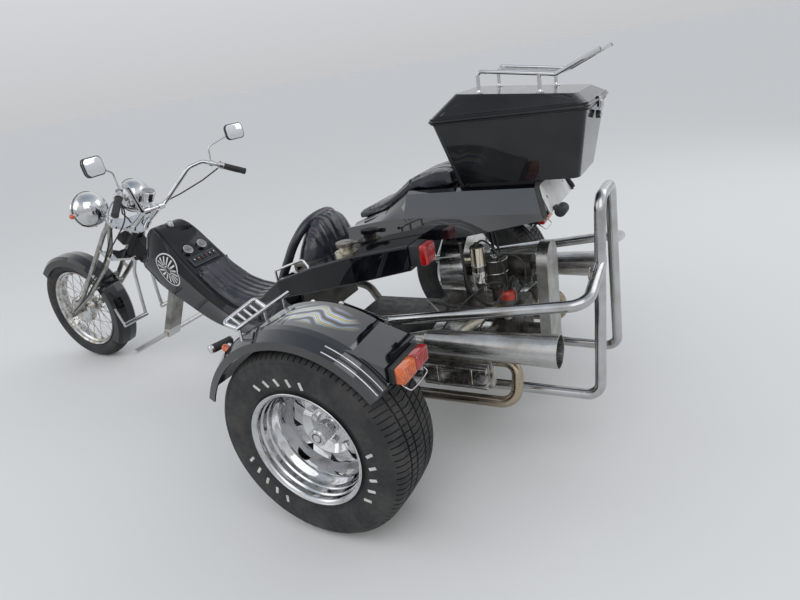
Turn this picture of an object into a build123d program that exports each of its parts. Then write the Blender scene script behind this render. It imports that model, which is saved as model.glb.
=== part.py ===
"""Motorized trike: a raked springer fork and one front wheel, a low moulded body with a
pleated saddle, an open flat-four engine behind the rear axle and a top case on the tail.

Lengths are millimetres. Places are written from the ground point below the middle of the
rear axle: x forward, y to the left, z up. save() moves them so that the row's origin is on
the ground in the middle of the vehicle.
"""
from build123d import *
from math import cos, hypot, radians, sin
import os

FIT = 0.3                     # gap between pieces that seat on each other

# Wheels
WHEELBASE = 2303
FRONT_TYRE_R, FRONT_TYRE_W, FRONT_RIM_R, FRONT_BEAD = 325, 106, 243, 30
REAR_TYRE_R, REAR_TYRE_W, REAR_RIM_R, REAR_BEAD = 346, 268, 207.5, 118
REAR_TRACK = 1510
BEAD_DROP = 8                 # of the bead seats inside the flanges
RIM_T = 5
RIM_WELL = 26
DISC_Y = -18                  # of the rear wheel's disc from the middle of the rim
WINDOWS = 8
HUB_R, STUB_R = 60, 21.5
HUB_CAP_R, HUB_CAP_END = 31, 60
DRUM_R = 118
SPOKES = 20                   # on each side of the front wheel
FRONT_DRUM_R, FRONT_HUB_R, FRONT_HUB_HALF = 86, 46, 58
FRONT_AXLE_R = 10

# Front fender
FRONT_FENDER_GAP = 24
FRONT_FENDER_W = 132
FRONT_FENDER_FROM, FRONT_FENDER_SWEEP = -46, 172
SHEET = 3

# Fork and steering
RAKE = 45                     # of the steering axis from upright
NECK_X, NECK_Z = WHEELBASE - 631, 748    # middle of the steering head
NECK_LENGTH, NECK_R, STEM_R = 190, 27, 13
FORK_Y = 108                  # fork tubes from the middle plane
FORK_TUBE_R = 13
REAR_LEG = [(64, 90), (-60, 44), (-191, 36), (-493, 76)]     # down the axis, out ahead of it
FRONT_LEG = [(64, 104), (-6, 112), (-560, 113)]
LEG_BEND = 220
YOKE_T = 18
YOKE_GAP = 3
HORN_R = 36

# Handlebar and what it carries
BAR_R = 11
# Columns: back of the steering head, to the right, above the head
BAR_LINE = [(217, 0, 174), (220, 70, 174), (336, 196, 334), (376, 262, 350), (425, 312, 320), (500, 420, 256)]
BAR = [(NECK_X - back, -right, NECK_Z + up) for back, right, up in BAR_LINE]
BAR_BEND = 58
RISER_Y, RISER_R, CLAMP_R = 48, 14, 19
GRIP_R, GRIP_LENGTH, GRIP_CAP = 17, 112, 6
POD_R, POD_LENGTH = 19, 27
MIRROR_W, MIRROR_H, MIRROR_T = 108, 78, 16
MIRROR_AT = (NECK_X - 490, -432, NECK_Z + 466)
SPEEDO_R, SPEEDO_H = 35, 46
HEADLAMP_X, HEADLAMP_Y, HEADLAMP_Z, HEADLAMP_R = NECK_X + 73, 141, NECK_Z + 218, 88
CABLE_R = 3.5

# Body. Columns: station x, underside, top, half widths low, at the shoulder and at the
# top, and the shoulder's share of the height
DASH_X, NOSE_X = 1270, NECK_X - 110
NOSE_LENGTH = NOSE_X - DASH_X
TUB = [(NOSE_X, 590, 700, 52, 78, 50, 0.55), (DASH_X + 0.72 * NOSE_LENGTH, 530, 778, 78, 116, 80, 0.55),
       (DASH_X + 0.35 * NOSE_LENGTH, 470, 838, 92, 136, 96, 0.62), (DASH_X, 416, 742, 100, 144, 116, 0.72),
       (1150, 352, 612, 106, 150, 124, 0.78), (1000, 308, 492, 112, 160, 132, 0.78),
       (850, 290, 446, 124, 184, 146, 0.76), (700, 300, 474, 140, 232, 170, 0.74),
       (560, 345, 560, 150, 290, 200, 0.80), (450, 420, 640, 150, 316, 214, 0.80)]
# Side arms. Columns: station x, lower edge, upper edge, inner y, outer y
ARM_IN_Y, ARM_OUT_Y, ARM_REAR_X = 205, 350, -176
ARM = [(552, 574, 612, 240, 318), (436, 612, 690, 214, 342), (246, 652, 754, ARM_IN_Y, ARM_OUT_Y),
       (60, 692, 800, ARM_IN_Y, ARM_OUT_Y), (ARM_REAR_X, 746, 838, ARM_IN_Y, ARM_OUT_Y - 4)]
# Rear deck. Columns: station x, flank foot z, crease y and z, crown z
SHELL = 5
DECK_FOOT_Y = ARM_IN_Y - FIT
CROWN_Y, CROWN_EDGE = 150, 22
DECK_TOP_Z = 981
DECK = [(150, 772, 200, 862, 864), (0, 786, 201, 886, 912), (-100, 800, 202, 894, DECK_TOP_Z - 3),
        (-330, 824, 202, 898, DECK_TOP_Z), (-640, 884, 200, 900, DECK_TOP_Z)]
TAIL_X, TAIL_Z, TAIL_LEAN = -620, 884, 23
PLATE_W, PLATE_H, PLATE_T, PLATE_LAMP_R = 300, 104, 4, 20
SHELF_Z, SHELF_T = 712, 12

# Soft parts
SEAT_THICK = 42
SEAT = [(1150, 112), (1000, 126), (850, 144), (700, 166), (560, 192), (500, 196)]
# Columns: height, front x, rear x, width
BACKREST = [(592, 566, 330, 400), (712, 514, 306, 376), (800, 470, 322, 320), (862, 440, 352, 220),
            (886, 424, 380, 130)]
RING_R = 20
PILLION_THICK, PILLION_HALF, PILLION_TOP_Z = 34, 124, 1046

# Frame and feet
POST_W, POST_T, POST_LENGTH, POST_LEAN = 84, 38, 372, 29.5     # a box tube that leans back
FOOT_BAR_X, FOOT_BAR_Z, FOOT_BAR_Y, FOOT_BAR_R = NECK_X - 60, 212, 258, 14
GUSSET_HALF = 22
HANGER_Y = 50
PEG_Y = 205
RAIL_R, RAIL_Y, RAIL_Z = 19, 205, 240

# Rear fenders
FENDER_GAP, FENDER_IN_Y, FENDER_RIDGE_Y, FENDER_LIP_Y, LIP_DROP = 62, 612, 842, 884, 24
FENDER_R = REAR_TYRE_R + FENDER_GAP
FENDER_LIP_R = FENDER_R - LIP_DROP
FENDER_FRONT_ANGLE, FENDER_REAR_ANGLE = 22, 143    # from level ahead, over the top
WEDGE_X, WEDGE_Z = 86 - FENDER_R, REAR_TYRE_R + 309

# Engine
CRANK_Z = 372
ENGINE_FRONT_X, CASE_LENGTH, CASE_HALF = -150, 300, 135
CASE_LOW, CASE_HIGH = 95, 105
BORE_R, FIN_R, FINS, FIN_T, CYLINDER_PITCH = 43, 55, 8, 6, 128
HEAD_Y, COVER_Y = 334, 372
SHROUD_R, SHROUD_Z, SHROUD_X, SHROUD_T = 150, 650, -190, 95
DYNAMO_R, DYNAMO_Y, DYNAMO_Z = 46, -20, 640
GUARD_X, GUARD_T, GUARD_HALF, GUARD_LOW_Z, GUARD_ARC_Z = -538, 40, 75, 300, 668
MEGAPHONE_Y, MEGAPHONE_Z, MEGAPHONE_R = 396, 508, 55
PIPE_R = 20

# Tubes round the engine
HOOP_R, HOOP_X, HOOP_TOP_Z, HOOP_LOW_Z, HOOP_TOP_Y, HOOP_LOW_Y = 19, -770, 920, 232, 100, 190
SIDE_TUBE_Y = 351

# Top case
CASE_BASE_Z, CASE_SEAM_Z = 994, 1205
CASE_FRONT_X, CASE_REAR_X, CASE_W, CASE_WALL = -240, -750, 344, 4
LID_LIP, LID_SLOPE, LID_MID_X, LID_MID_Z = 6, 6, -517, 1272
HINGE_X, HINGE_R, PIN_R = -226, 7, 3
RACK_Z, RACK_Y = 1352, 105
RACK_SLATS, SLAT_W, SLAT_PITCH, SLAT_T = 4, 16, 42, 4

REAR_REACH = -HOOP_X + HOOP_R
REAR_AXLE_X = (REAR_REACH - WHEELBASE - FRONT_TYRE_R) / 2
REAR_WHEEL_Y = REAR_TRACK / 2
TURN = radians(RAKE)


def rod(a, b, r):
    """A round bar from point a to point b."""
    return cone(a, b, r, r)


def cone(a, b, r_a, r_b):
    start, way = Vector(*a), Vector(*b) - Vector(*a)
    upright = (Align.CENTER, Align.CENTER, Align.MIN)
    shape = Cylinder(r_a, way.length, align=upright) if r_a == r_b else Cone(r_a, r_b, way.length, align=upright)
    return Plane(origin=start, z_dir=way) * shape


def bent(points, r, bend):
    """A round bar along straight runs joined by arcs of radius bend, or a radius for each corner."""
    path = FilletPolyline(*points, radius=bend)
    return sweep(Plane(origin=path @ 0, z_dir=path % 0) * Circle(r), path=path)


def strip(points, t):
    """A closed band of thickness t to the left of an open line of points."""
    n = len(points)
    ways = [(points[i + 1][0] - points[i][0], points[i + 1][1] - points[i][1]) for i in range(n - 1)]
    sides = [(-v / hypot(u, v), u / hypot(u, v)) for u, v in ways]
    inner = []
    for i, (px, py) in enumerate(points):
        a, b = sides[max(i - 1, 0)], sides[min(i, n - 2)]
        k = t / (1 + a[0] * b[0] + a[1] * b[1])
        inner.append((px + k * (a[0] + b[0]), py + k * (a[1] + b[1])))
    return make_face(Polyline(*points, *reversed(inner), close=True))


def side_plate(points, half):
    """A plate of side view points, as (x, z), and of half a width to each side."""
    return extrude(Plane.XZ * make_face(Polyline(*points, close=True)), half, both=True)


def lathe(profile, y, z):
    """Turn a face drawn as (radius, across) about a wheel's axle."""
    return Pos(0, y, z) * revolve(profile, Axis.Y)


def mirrored(shape):
    return mirror(shape, about=Plane.XZ)


def both(*shapes):
    return [*shapes, *(mirrored(s) for s in shapes)]


def block(x0, x1, y0, y1, z0, z1):
    return Pos((x0 + x1) / 2, (y0 + y1) / 2, (z0 + z1) / 2) * Box(abs(x1 - x0), abs(y1 - y0), abs(z1 - z0))


def main_solid(shape):
    return shape.solids().sort_by(SortBy.VOLUME)[-1]


def along_neck(s, out=0, y=0):
    """A point s up the steering axis from the middle of the head and out ahead of the axis."""
    return (NECK_X - s * sin(TURN) + out * cos(TURN), y, NECK_Z + s * cos(TURN) + out * sin(TURN))


os.makedirs("parts", exist_ok=True)


def save(node, *shapes):
    solids = [s for shape in shapes for s in shape.solids()]
    whole = solids[0] if len(solids) == 1 else Compound(solids)
    export_step(Pos(REAR_AXLE_X, 0, 0) * whole, f"parts/{node}.step")


# Tyres
def tyre(r, w, rim_r, bead):
    """A tyre's section as (radius, across): bead, bulging side, shoulder and crown."""
    half, side = w / 2, r - rim_r
    line = [(rim_r - BEAD_DROP, bead), (rim_r + 3, bead), (rim_r + 0.42 * side, half),
            (r - 0.16 * side, half - 0.04 * w), (r - 0.03 * side, half - 0.16 * w), (r, 0)]
    return make_face(Polyline(*line, *[(a, -b) for a, b in reversed(line[:-1])], close=True))


front_tyre = lathe(tyre(FRONT_TYRE_R, FRONT_TYRE_W, FRONT_RIM_R, FRONT_BEAD), 0, FRONT_TYRE_R)
save("front_tyre", Pos(WHEELBASE, 0, 0) * front_tyre)
rear_tyre = lathe(tyre(REAR_TYRE_R, REAR_TYRE_W, REAR_RIM_R, REAR_BEAD), REAR_WHEEL_Y, REAR_TYRE_R)
save("rear_tyre_left", rear_tyre)
save("rear_tyre_right", mirrored(rear_tyre))

# Rear wheel: a deep rim, a disc with triangular windows and a long hub cap
rear_seat_r = REAR_RIM_R - BEAD_DROP - FIT
rear_half = REAR_BEAD + FIT
rear_well_r = rear_seat_r - RIM_WELL
rim_line = [(REAR_RIM_R, -rear_half - 8), (rear_seat_r, -rear_half), (rear_seat_r, -rear_half + 30),
            (rear_well_r, -rear_half + 46), (rear_well_r, rear_half - 84), (rear_seat_r, rear_half - 58),
            (rear_seat_r, rear_half), (REAR_RIM_R, rear_half + 8)]
barrel = revolve(strip(rim_line, RIM_T), Axis.Y)
disc_line = [(rear_well_r - RIM_T / 2, DISC_Y - 12), (128, DISC_Y + 14), (96, DISC_Y + 18), (72, DISC_Y),
             (40, DISC_Y)]
disc = revolve(strip(disc_line, -RIM_T - 1), Axis.Y)
window = extrude(Plane.XZ * make_face(Polyline((96, 0), (142, -21), (142, 21), close=True)), 60, both=True)
for i in range(WINDOWS):
    disc -= Rot(0, i * 360 / WINDOWS, 0) * window
hub = revolve(make_face(Polyline((STUB_R + 0.5, -HUB_R), (HUB_R, -HUB_R), (HUB_R, DISC_Y), (46, DISC_Y + 8),
                                 (HUB_CAP_R, DISC_Y + 10), (HUB_CAP_R, HUB_CAP_END - 6),
                                 (HUB_CAP_R - 6, HUB_CAP_END), (0, HUB_CAP_END), (0, 20), (STUB_R + 0.5, 20),
                                 close=True)), Axis.Y)
nuts = [Rot(0, 36 + i * 72, 0) * Pos(HUB_R - 8, DISC_Y + 7, 0) * Rot(90, 0, 0)
        * extrude(RegularPolygon(11, 6), 12, both=True) for i in range(5)]
rear_rim = Pos(0, REAR_WHEEL_Y, REAR_TYRE_R) * (barrel + disc + hub + nuts)
save("rear_rim_left", rear_rim)
save("rear_rim_right", mirrored(rear_rim))

# Front wheel: rim, crossed spokes and a drum hub
front_seat_r = FRONT_RIM_R - BEAD_DROP - FIT
front_half = FRONT_BEAD + FIT
front_line = [(FRONT_RIM_R, -front_half - 5), (front_seat_r, -front_half), (front_seat_r, -18),
              (front_seat_r - 9, -10), (front_seat_r - 9, 10), (front_seat_r, 18), (front_seat_r, front_half),
              (FRONT_RIM_R, front_half + 5)]
front_rim = revolve(strip(front_line, RIM_T - 1), Axis.Y)
bore_r = FRONT_AXLE_R + 0.5
front_rim += revolve(make_face(Polyline((bore_r, -FRONT_HUB_HALF), (FRONT_HUB_R, -FRONT_HUB_HALF),
                                        (FRONT_HUB_R, -32), (30, -26), (30, 8), (FRONT_DRUM_R, 16),
                                        (FRONT_DRUM_R, 50), (70, FRONT_HUB_HALF), (bore_r, FRONT_HUB_HALF),
                                        close=True)), Axis.Y)
for side, foot_r in ((-1, FRONT_HUB_R - 5), (1, FRONT_DRUM_R - 6)):
    for i in range(SPOKES):
        turn = 360 / SPOKES * (i + (0.5 if side > 0 else 0))
        lean = 24 if i % 2 else -24
        foot = Vector(foot_r, side * 42, 0).rotate(Axis.Y, turn + lean)
        nipple = Vector(front_seat_r - 11, side * 5, 0).rotate(Axis.Y, turn)
        front_rim += rod(tuple(foot), tuple(nipple), 2.2)
save("front_rim", Pos(WHEELBASE, 0, FRONT_TYRE_R) * front_rim)

# Front fender: a crowned band round the top and back of the front tyre
fender_r, fender_half = FRONT_TYRE_R + FRONT_FENDER_GAP, FRONT_FENDER_W / 2
fender_line = [(fender_r - 62, -fender_half), (fender_r - 22, -fender_half), (fender_r - 6, -fender_half + 16),
               (fender_r, 0), (fender_r - 6, fender_half - 16), (fender_r - 22, fender_half),
               (fender_r - 62, fender_half)]
front_fender = revolve(Rot(0, FRONT_FENDER_FROM, 0) * strip(fender_line, SHEET), Axis.Y, -FRONT_FENDER_SWEEP)
save("front_fender", Pos(WHEELBASE, 0, FRONT_TYRE_R) * front_fender)

# Fork: a front and a rear tube on each side, which meet at the axle and under the top yoke
front_axle = (WHEELBASE, FORK_Y, FRONT_TYRE_R)
stem_half = NECK_LENGTH / 2 + YOKE_GAP
rear_leg_line = [along_neck(s, out, FORK_Y) for s, out in REAR_LEG] + [front_axle]
front_leg_line = [along_neck(s, out, FORK_Y) for s, out in FRONT_LEG] + [front_axle]
leg_tip_out = (REAR_LEG[0][1] + FRONT_LEG[0][1]) / 2
leg = bent(rear_leg_line, FORK_TUBE_R, LEG_BEND) + bent(front_leg_line, FORK_TUBE_R, LEG_BEND)
leg_top = along_neck(stem_half - FIT, leg_tip_out, FORK_Y)
leg += rod(along_neck(REAR_LEG[0][0] - 10, leg_tip_out, FORK_Y), leg_top, 19)
leg += rod((WHEELBASE, FORK_Y - 16, FRONT_TYRE_R), (WHEELBASE, FORK_Y + 22, FRONT_TYRE_R), 21)
for s, out in ((-129, 40), (-340, 56)):
    leg += rod(along_neck(s, out, FORK_Y), along_neck(s, FRONT_LEG[1][1], FORK_Y), 9)
CABLE_Y = FORK_Y + 20
for s, out in ((-250, 44), (-560, 94)):
    leg += rod(along_neck(s, out, FORK_Y), along_neck(s, out, CABLE_Y - CABLE_R - FIT), 5)
for s, out in ((-436, 68), (-432, 113)):
    lug = along_neck(s, out, FORK_Y)
    leg += rod(lug, (lug[0], fender_half + FIT, lug[2]), 8)
fork = leg + mirrored(leg)
fork += rod((WHEELBASE, -FORK_Y, FRONT_TYRE_R), front_axle, FRONT_AXLE_R)
for side in (-1, 1):
    spacer_end = (WHEELBASE, side * FORK_Y, FRONT_TYRE_R)
    fork += rod((WHEELBASE, side * (FRONT_HUB_HALF + 1), FRONT_TYRE_R), spacer_end, 16)
save("fork_legs", fork)

# Yokes: the steering stem and a plate above and below the head
rear_bore = bent(rear_leg_line, FORK_TUBE_R + FIT, LEG_BEND)
low_out = REAR_LEG[1][1] + 26
top_out = leg_tip_out + 20
fork_yokes = rod(along_neck(-stem_half - YOKE_T), along_neck(stem_half + YOKE_T), STEM_R)
yokes = ((stem_half, 76, top_out, FORK_Y + 20), (-stem_half - YOKE_T, 40, low_out, FORK_Y + 16))
for s, notch, reach, y_out in yokes:
    plane = Plane(origin=along_neck(s), x_dir=(cos(TURN), 0, sin(TURN)), z_dir=(-sin(TURN), 0, cos(TURN)))
    outline = make_face(Polyline((-26, -30), (reach - 56, -y_out), (reach, -y_out), (reach, 24 - FORK_Y),
                                 (notch, -44), (notch, 44), (reach, FORK_Y - 24), (reach, y_out),
                                 (reach - 56, y_out), (-26, 30), close=True))
    fork_yokes += plane * extrude(outline, YOKE_T)
fork_yokes = fork_yokes - rear_bore - mirrored(rear_bore)
save("fork_yokes", fork_yokes)
yoke_top = stem_half + YOKE_T + FIT

# Handlebar on its pull-back risers
bar_line = [(x, -y, z) for x, y, z in reversed(BAR[1:])] + BAR[1:]
handlebar = bent(bar_line, BAR_R, BAR_BEND)
riser = rod(along_neck(yoke_top, 2, RISER_Y), along_neck(yoke_top + 26, 2, RISER_Y), RISER_R + 3)
riser += rod(along_neck(yoke_top + 18, 2, RISER_Y), (BAR[0][0], RISER_Y, BAR[0][2]), RISER_R)
riser += rod((BAR[0][0] - 1, RISER_Y - 18, BAR[0][2]), (BAR[0][0] - 1, RISER_Y + 18, BAR[0][2]), CLAMP_R)
handlebar = handlebar + riser + mirrored(riser)
save("handlebar", handlebar)

# Grips, and inboard of them the switch pods
bar_elbow, bar_end = Vector(*BAR[4]), Vector(*BAR[5])
grip_way = (bar_end - bar_elbow).normalized()


def on_grip(t):
    """A point t inboard of the bar's end."""
    return tuple(bar_end - grip_way * t)


bar_bore = rod(on_grip(GRIP_LENGTH + POD_LENGTH + 10), on_grip(-FIT), BAR_R + FIT)
save("grips", *both(rod(on_grip(GRIP_LENGTH), on_grip(-GRIP_CAP), GRIP_R) - bar_bore))
pod = rod(on_grip(GRIP_LENGTH + 1 + POD_LENGTH), on_grip(GRIP_LENGTH + 1), POD_R) - bar_bore
speedo_way = Vector(-0.45, 0, 0.89)
speedo_at = Vector(BAR[0][0] + 13, 0, BAR[0][2] + 46)
speedo = cone(tuple(speedo_at), tuple(speedo_at + speedo_way * SPEEDO_H), SPEEDO_R - 8, SPEEDO_R)
speedo += rod((BAR[0][0] + 2, 0, BAR[0][2]), tuple(speedo_at + speedo_way * 4), 8)
speedo -= rod((BAR[0][0] - 1, -60, BAR[0][2]), (BAR[0][0] - 1, 60, BAR[0][2]), BAR_R + 2 * FIT)
save("bar_controls", *both(pod), main_solid(speedo))

# Mirrors, clamped to the bar
clamp_way = (bar_elbow - Vector(*BAR[3])).normalized()
clamp_at = Vector(*BAR[3]) + clamp_way * 46
mirror_at = Vector(*MIRROR_AT)
stem_line = [tuple(clamp_at + Vector(0, 0, 8)), tuple(clamp_at + Vector(-2, -6, 84)),
             tuple(mirror_at + Vector(18, 30, -10)), tuple(mirror_at + Vector(9, 6, -4))]
face = Plane(origin=mirror_at, x_dir=(0.2, 0.97, 0), z_dir=(-0.97, 0.2, 0.1))
arm_mirror = rod(tuple(clamp_at - clamp_way * 9), tuple(clamp_at + clamp_way * 9), BAR_R + 6)
arm_mirror += bent(stem_line, 4.5, [30, 24]) + face * extrude(RectangleRounded(MIRROR_W, MIRROR_H, 22), -MIRROR_T)
arm_mirror -= rod(tuple(clamp_at - clamp_way * 12), tuple(clamp_at + clamp_way * 12), BAR_R + FIT)
save("mirrors", *both(arm_mirror))

# Twin headlamps: bullets on ears of the top yoke, each with a turn signal on its outer side
LAMP_BACK, LAMP_RIM, LAMP_BULGE = 86, 14, 38


def dome(r, rim, apex):
    """An arc from the rim (r, rim) to the apex on the lamp's axis, square to the axis there."""
    centre = (apex ** 2 - rim ** 2 - r ** 2) / (2 * (apex - rim))
    reach = abs(apex - centre)
    middle = Vector(r, rim - centre, 0).normalized() + Vector(0, apex - centre, 0).normalized()
    middle = middle.normalized() * reach
    return ThreePointArc((r, rim), (middle.X, middle.Y + centre), (0, apex))


lamp_line = Polyline((HEADLAMP_R, LAMP_RIM), (HEADLAMP_R + 3, LAMP_RIM), (HEADLAMP_R + 3, LAMP_RIM + 14),
                     (HEADLAMP_R - 6, LAMP_RIM + 17))
lamp_line += dome(HEADLAMP_R - 6, LAMP_RIM + 17, LAMP_BULGE)
lamp_line += Line((0, LAMP_BULGE), (0, -LAMP_BACK))
lamp_line += dome(HEADLAMP_R, LAMP_RIM, -LAMP_BACK)
bullet = Rot(0, 0, -90) * revolve(make_face(lamp_line), Axis.Y)
lamp = Pos(HEADLAMP_X, HEADLAMP_Y, HEADLAMP_Z) * bullet
lamp += rod(along_neck(yoke_top, leg_tip_out, FORK_Y), along_neck(yoke_top + 14, leg_tip_out, FORK_Y), 11)
lamp += bent([along_neck(yoke_top + 9, leg_tip_out - 4, FORK_Y),
              along_neck(yoke_top + 9, leg_tip_out + 41, FORK_Y + 4),
              (HEADLAMP_X - 14, HEADLAMP_Y - 6, HEADLAMP_Z - 52)], 8, 16)
save("headlamps", *both(lamp))
signal_y = HEADLAMP_Y + HEADLAMP_R
signal = rod((HEADLAMP_X, signal_y - 6, HEADLAMP_Z - 8), (HEADLAMP_X, signal_y + 12, HEADLAMP_Z - 8), 5)
signal += rod((HEADLAMP_X, signal_y + 10, HEADLAMP_Z - 8), (HEADLAMP_X, signal_y + 32, HEADLAMP_Z - 8), 13)
save("front_indicators", *both(main_solid(signal - lamp)))

# Horn between the yokes, hung from the upper one
horn = rod(along_neck(-38, 44), along_neck(-38, 84), HORN_R)
horn += rod(along_neck(stem_half - FIT, 62), along_neck(-10, 62), 5)
save("horn", horn)

# Cables: from each pod to the top yoke, and down the left fork leg to the front brake
pod_at = Vector(*on_grip(GRIP_LENGTH + POD_LENGTH / 2))
pod_cable = [(NECK_X - back, -right, NECK_Z + up)
             for back, right, up in ((342, 262, 252), (232, 190, 202), (132, 104, 164), (76, 52, 136))]
pod_cable = [tuple(pod_at + Vector(18.5, 10, -12)), *pod_cable, along_neck(yoke_top + 2.2, 24, -34)]
leg_cable = [along_neck(stem_half - 3 * FIT, 66, CABLE_Y - 8)]
leg_cable += [along_neck(s, out, CABLE_Y) for s, out in (REAR_LEG[1], REAR_LEG[2], REAR_LEG[3], (-690, 128))]
cables = [bent(pod_cable, CABLE_R, 60), bent(leg_cable, CABLE_R, LEG_BEND)]
save("control_cables", *both(cables[0]), cables[1])


# Body: nose, saddle tub and side arms as one moulding
def across(x, y=0, z=0):
    """The plane square to the vehicle at station x, drawn as (y, z)."""
    return Plane(origin=(x, y, z), x_dir=(0, 1, 0), z_dir=(1, 0, 0))


def tub_section(x, low, top, low_half, mid_half, top_half, share):
    mid = low + (top - low) * share
    outline = Polyline((-low_half, low), (low_half, low), (mid_half, mid), (top_half, top), (-top_half, top),
                       (-mid_half, mid), close=True)
    return across(x) * fillet(make_face(outline).vertices(), 18)


def arm_section(x, low, top, y_in, y_out):
    face = fillet(Rectangle(y_out - y_in, top - low).vertices(), 9)
    return across(x, (y_in + y_out) / 2, (low + top) / 2) * face


tub = loft([tub_section(*row) for row in TUB])
arm = loft([arm_section(*row) for row in ARM], ruled=True)
body = tub + arm + mirrored(arm)
save("body_tub", body)


# Rear deck: a thin moulding, open below over the engine, closed by the tail panel
def deck_section(x, foot_z, crease_y, crease_z, crown_z):
    flank = [(DECK_FOOT_Y, foot_z), (crease_y, crease_z), (CROWN_Y, crown_z - 8), (CROWN_Y - CROWN_EDGE, crown_z)]
    return across(x) * strip(flank + [(-y, z) for y, z in reversed(flank)], SHELL)


lean = radians(TAIL_LEAN)
tail = Plane(origin=(TAIL_X, 0, TAIL_Z), x_dir=(0, -1, 0), z_dir=(-cos(lean), 0, sin(lean)))
behind = tail * Box(600, 400, 200, align=(Align.CENTER, Align.CENTER, Align.MIN))
deck = loft([deck_section(*row) for row in DECK], ruled=True) - behind
panel_top = (DECK_TOP_Z - TAIL_Z) / cos(lean) - 2
tail_outline = [(-202, 3), (-197, 16), (-CROWN_Y + 1, panel_top - 8), (-CROWN_Y + CROWN_EDGE, panel_top)]
tail_outline += [(-y, z) for y, z in reversed(tail_outline)]
deck += tail * extrude(make_face(Polyline(*tail_outline, close=True)), -SHELL)
save("rear_deck", deck)
plate = tail * Pos(0, panel_top / 2, FIT + PLATE_T / 2) * Box(PLATE_W, PLATE_H, PLATE_T)
plate_lamp = Pos(0, -10, PLATE_LAMP_R) * Rot(0, 90, 0) * Cylinder(PLATE_LAMP_R, 56) + Pos(0, 4, 6) * Box(24, 16, 12)
plate_lamp = tail * Pos(-100, 0, 2 * FIT + PLATE_T) * plate_lamp
save("number_plate", plate, plate_lamp)

# Saddle pad over the tub, and behind it the rider's backrest with its padded ring
tub_tops = [(row[0], row[2]) for row in TUB]


def tub_top(x):
    """Height of the tub's top at station x, straight between the stations."""
    (xa, za), (xb, zb) = next((a, b) for a, b in zip(tub_tops, tub_tops[1:]) if a[0] >= x >= b[0])
    return za + (zb - za) * (xa - x) / (xa - xb)


def seat_loft(room):
    """The saddle pad, or with some room the space that it takes out of what stands on it."""
    sections = []
    for x, half in SEAT:
        low, top = tub_top(x) - 14, tub_top(x) + SEAT_THICK + room
        outline = fillet(Rectangle(2 * (half + room), top - low).vertices(), 14)
        sections.append(across(x, 0, (low + top) / 2) * outline)
    return loft(sections)


shelf = block(150, 449.7, -DECK_FOOT_Y, DECK_FOOT_Y, SHELF_Z - SHELF_T, SHELF_Z)
bulkhead = block(436, TUB[-1][0] - FIT, -DECK_FOOT_Y, DECK_FOOT_Y, 424, SHELF_Z)
bulkhead = bulkhead + shelf - body
seat = main_solid(seat_loft(0) - Pos(0, 0, FIT) * body)
save("rider_seat", seat)
rest = loft([Pos((front + rear) / 2, 0, z) * RectangleRounded(front - rear, width, 0.3 * (front - rear))
             for z, front, rear, width in BACKREST])
ring_half = [(front - 16, width / 2 - 14, z) for z, front, rear, width in BACKREST[:-1]]
rest += bent(ring_half + [(x, -y, z) for x, y, z in reversed(ring_half)], RING_R, 40)
for under in (Pos(0, 0, FIT) * body, Pos(0, 0, FIT) * bulkhead, seat_loft(FIT), Pos(-FIT, 0, 0) * seat):
    rest -= under
save("rider_backrest", main_solid(rest))

# Passenger's pad in the scoop of the deck, with a low backrest before the case
scoop = [(x, crown_z) for x, foot_z, crease_y, crease_z, crown_z in DECK[:3]]
pillion = extrude(Plane.XZ * strip(scoop, -PILLION_THICK), PILLION_HALF, both=True)
pillion += side_plate([(-99, DECK_TOP_Z - 6), (-99, DECK_TOP_Z + 28), (-205, PILLION_TOP_Z), (-268, PILLION_TOP_Z),
                       (-285, DECK_TOP_Z - 6)], PILLION_HALF)
save("passenger_seat", main_solid(pillion - Pos(0, 0, FIT) * deck))

# Dash: the switch panel with six rockers, two gauges and the ignition switch
dash_low, dash_high = Vector(TUB[4][0], 0, TUB[4][2]), Vector(TUB[3][0], 0, TUB[3][2])
dash_way = (dash_high - dash_low).normalized()
dash_up = Vector(-dash_way.Z, 0, dash_way.X)


def on_dash(t, y=0):
    return Plane(origin=dash_low + dash_way * t + Vector(0, y, 0), x_dir=dash_way, z_dir=dash_up)


ROCKERS, ROCKER_PITCH, PANEL_H = 6, 26.4, 10
panel = on_dash(62) * Pos(0, 0, -4) * extrude(RectangleRounded(58, 172, 6), PANEL_H + 4)
for i in range(ROCKERS):
    panel += on_dash(62, (i - (ROCKERS - 1) / 2) * ROCKER_PITCH) * Pos(0, 0, PANEL_H + 2) * Box(26, 18, 6)
gauges = [on_dash(t, y) * Pos(0, 0, 2) * Cylinder(r, h) for t, y, r, h in ((134, -47, 26, 20), (134, 47, 26, 20))]
key = rod((TUB[2][0] - 10, 0, TUB[2][2] - 20), (TUB[2][0] - 10, 0, TUB[2][2] + 14), 15)
resting = Pos(*(dash_up * FIT)) * body
save("dash", *[main_solid(piece - resting) for piece in (panel, *gauges, key)])

# Fuel filler with its lever, on the left arm
FILLER_X, FILLER_Y, FILLER_Z = 112, 292, 787
filler = rod((FILLER_X, FILLER_Y, FILLER_Z - 14), (FILLER_X, FILLER_Y, FILLER_Z + 14), 44)
filler += rod((FILLER_X, FILLER_Y, FILLER_Z + 14), (FILLER_X, FILLER_Y, FILLER_Z + 36), 26)
filler += rod((FILLER_X, FILLER_Y, FILLER_Z + 36), (FILLER_X, FILLER_Y, FILLER_Z + 50), 34)
filler += rod((FILLER_X, FILLER_Y, FILLER_Z + 44), (FILLER_X - 82, FILLER_Y - 16, FILLER_Z + 49), 7)
save("filler_cap", main_solid(filler - Pos(0, 0, FIT) * body))

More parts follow.
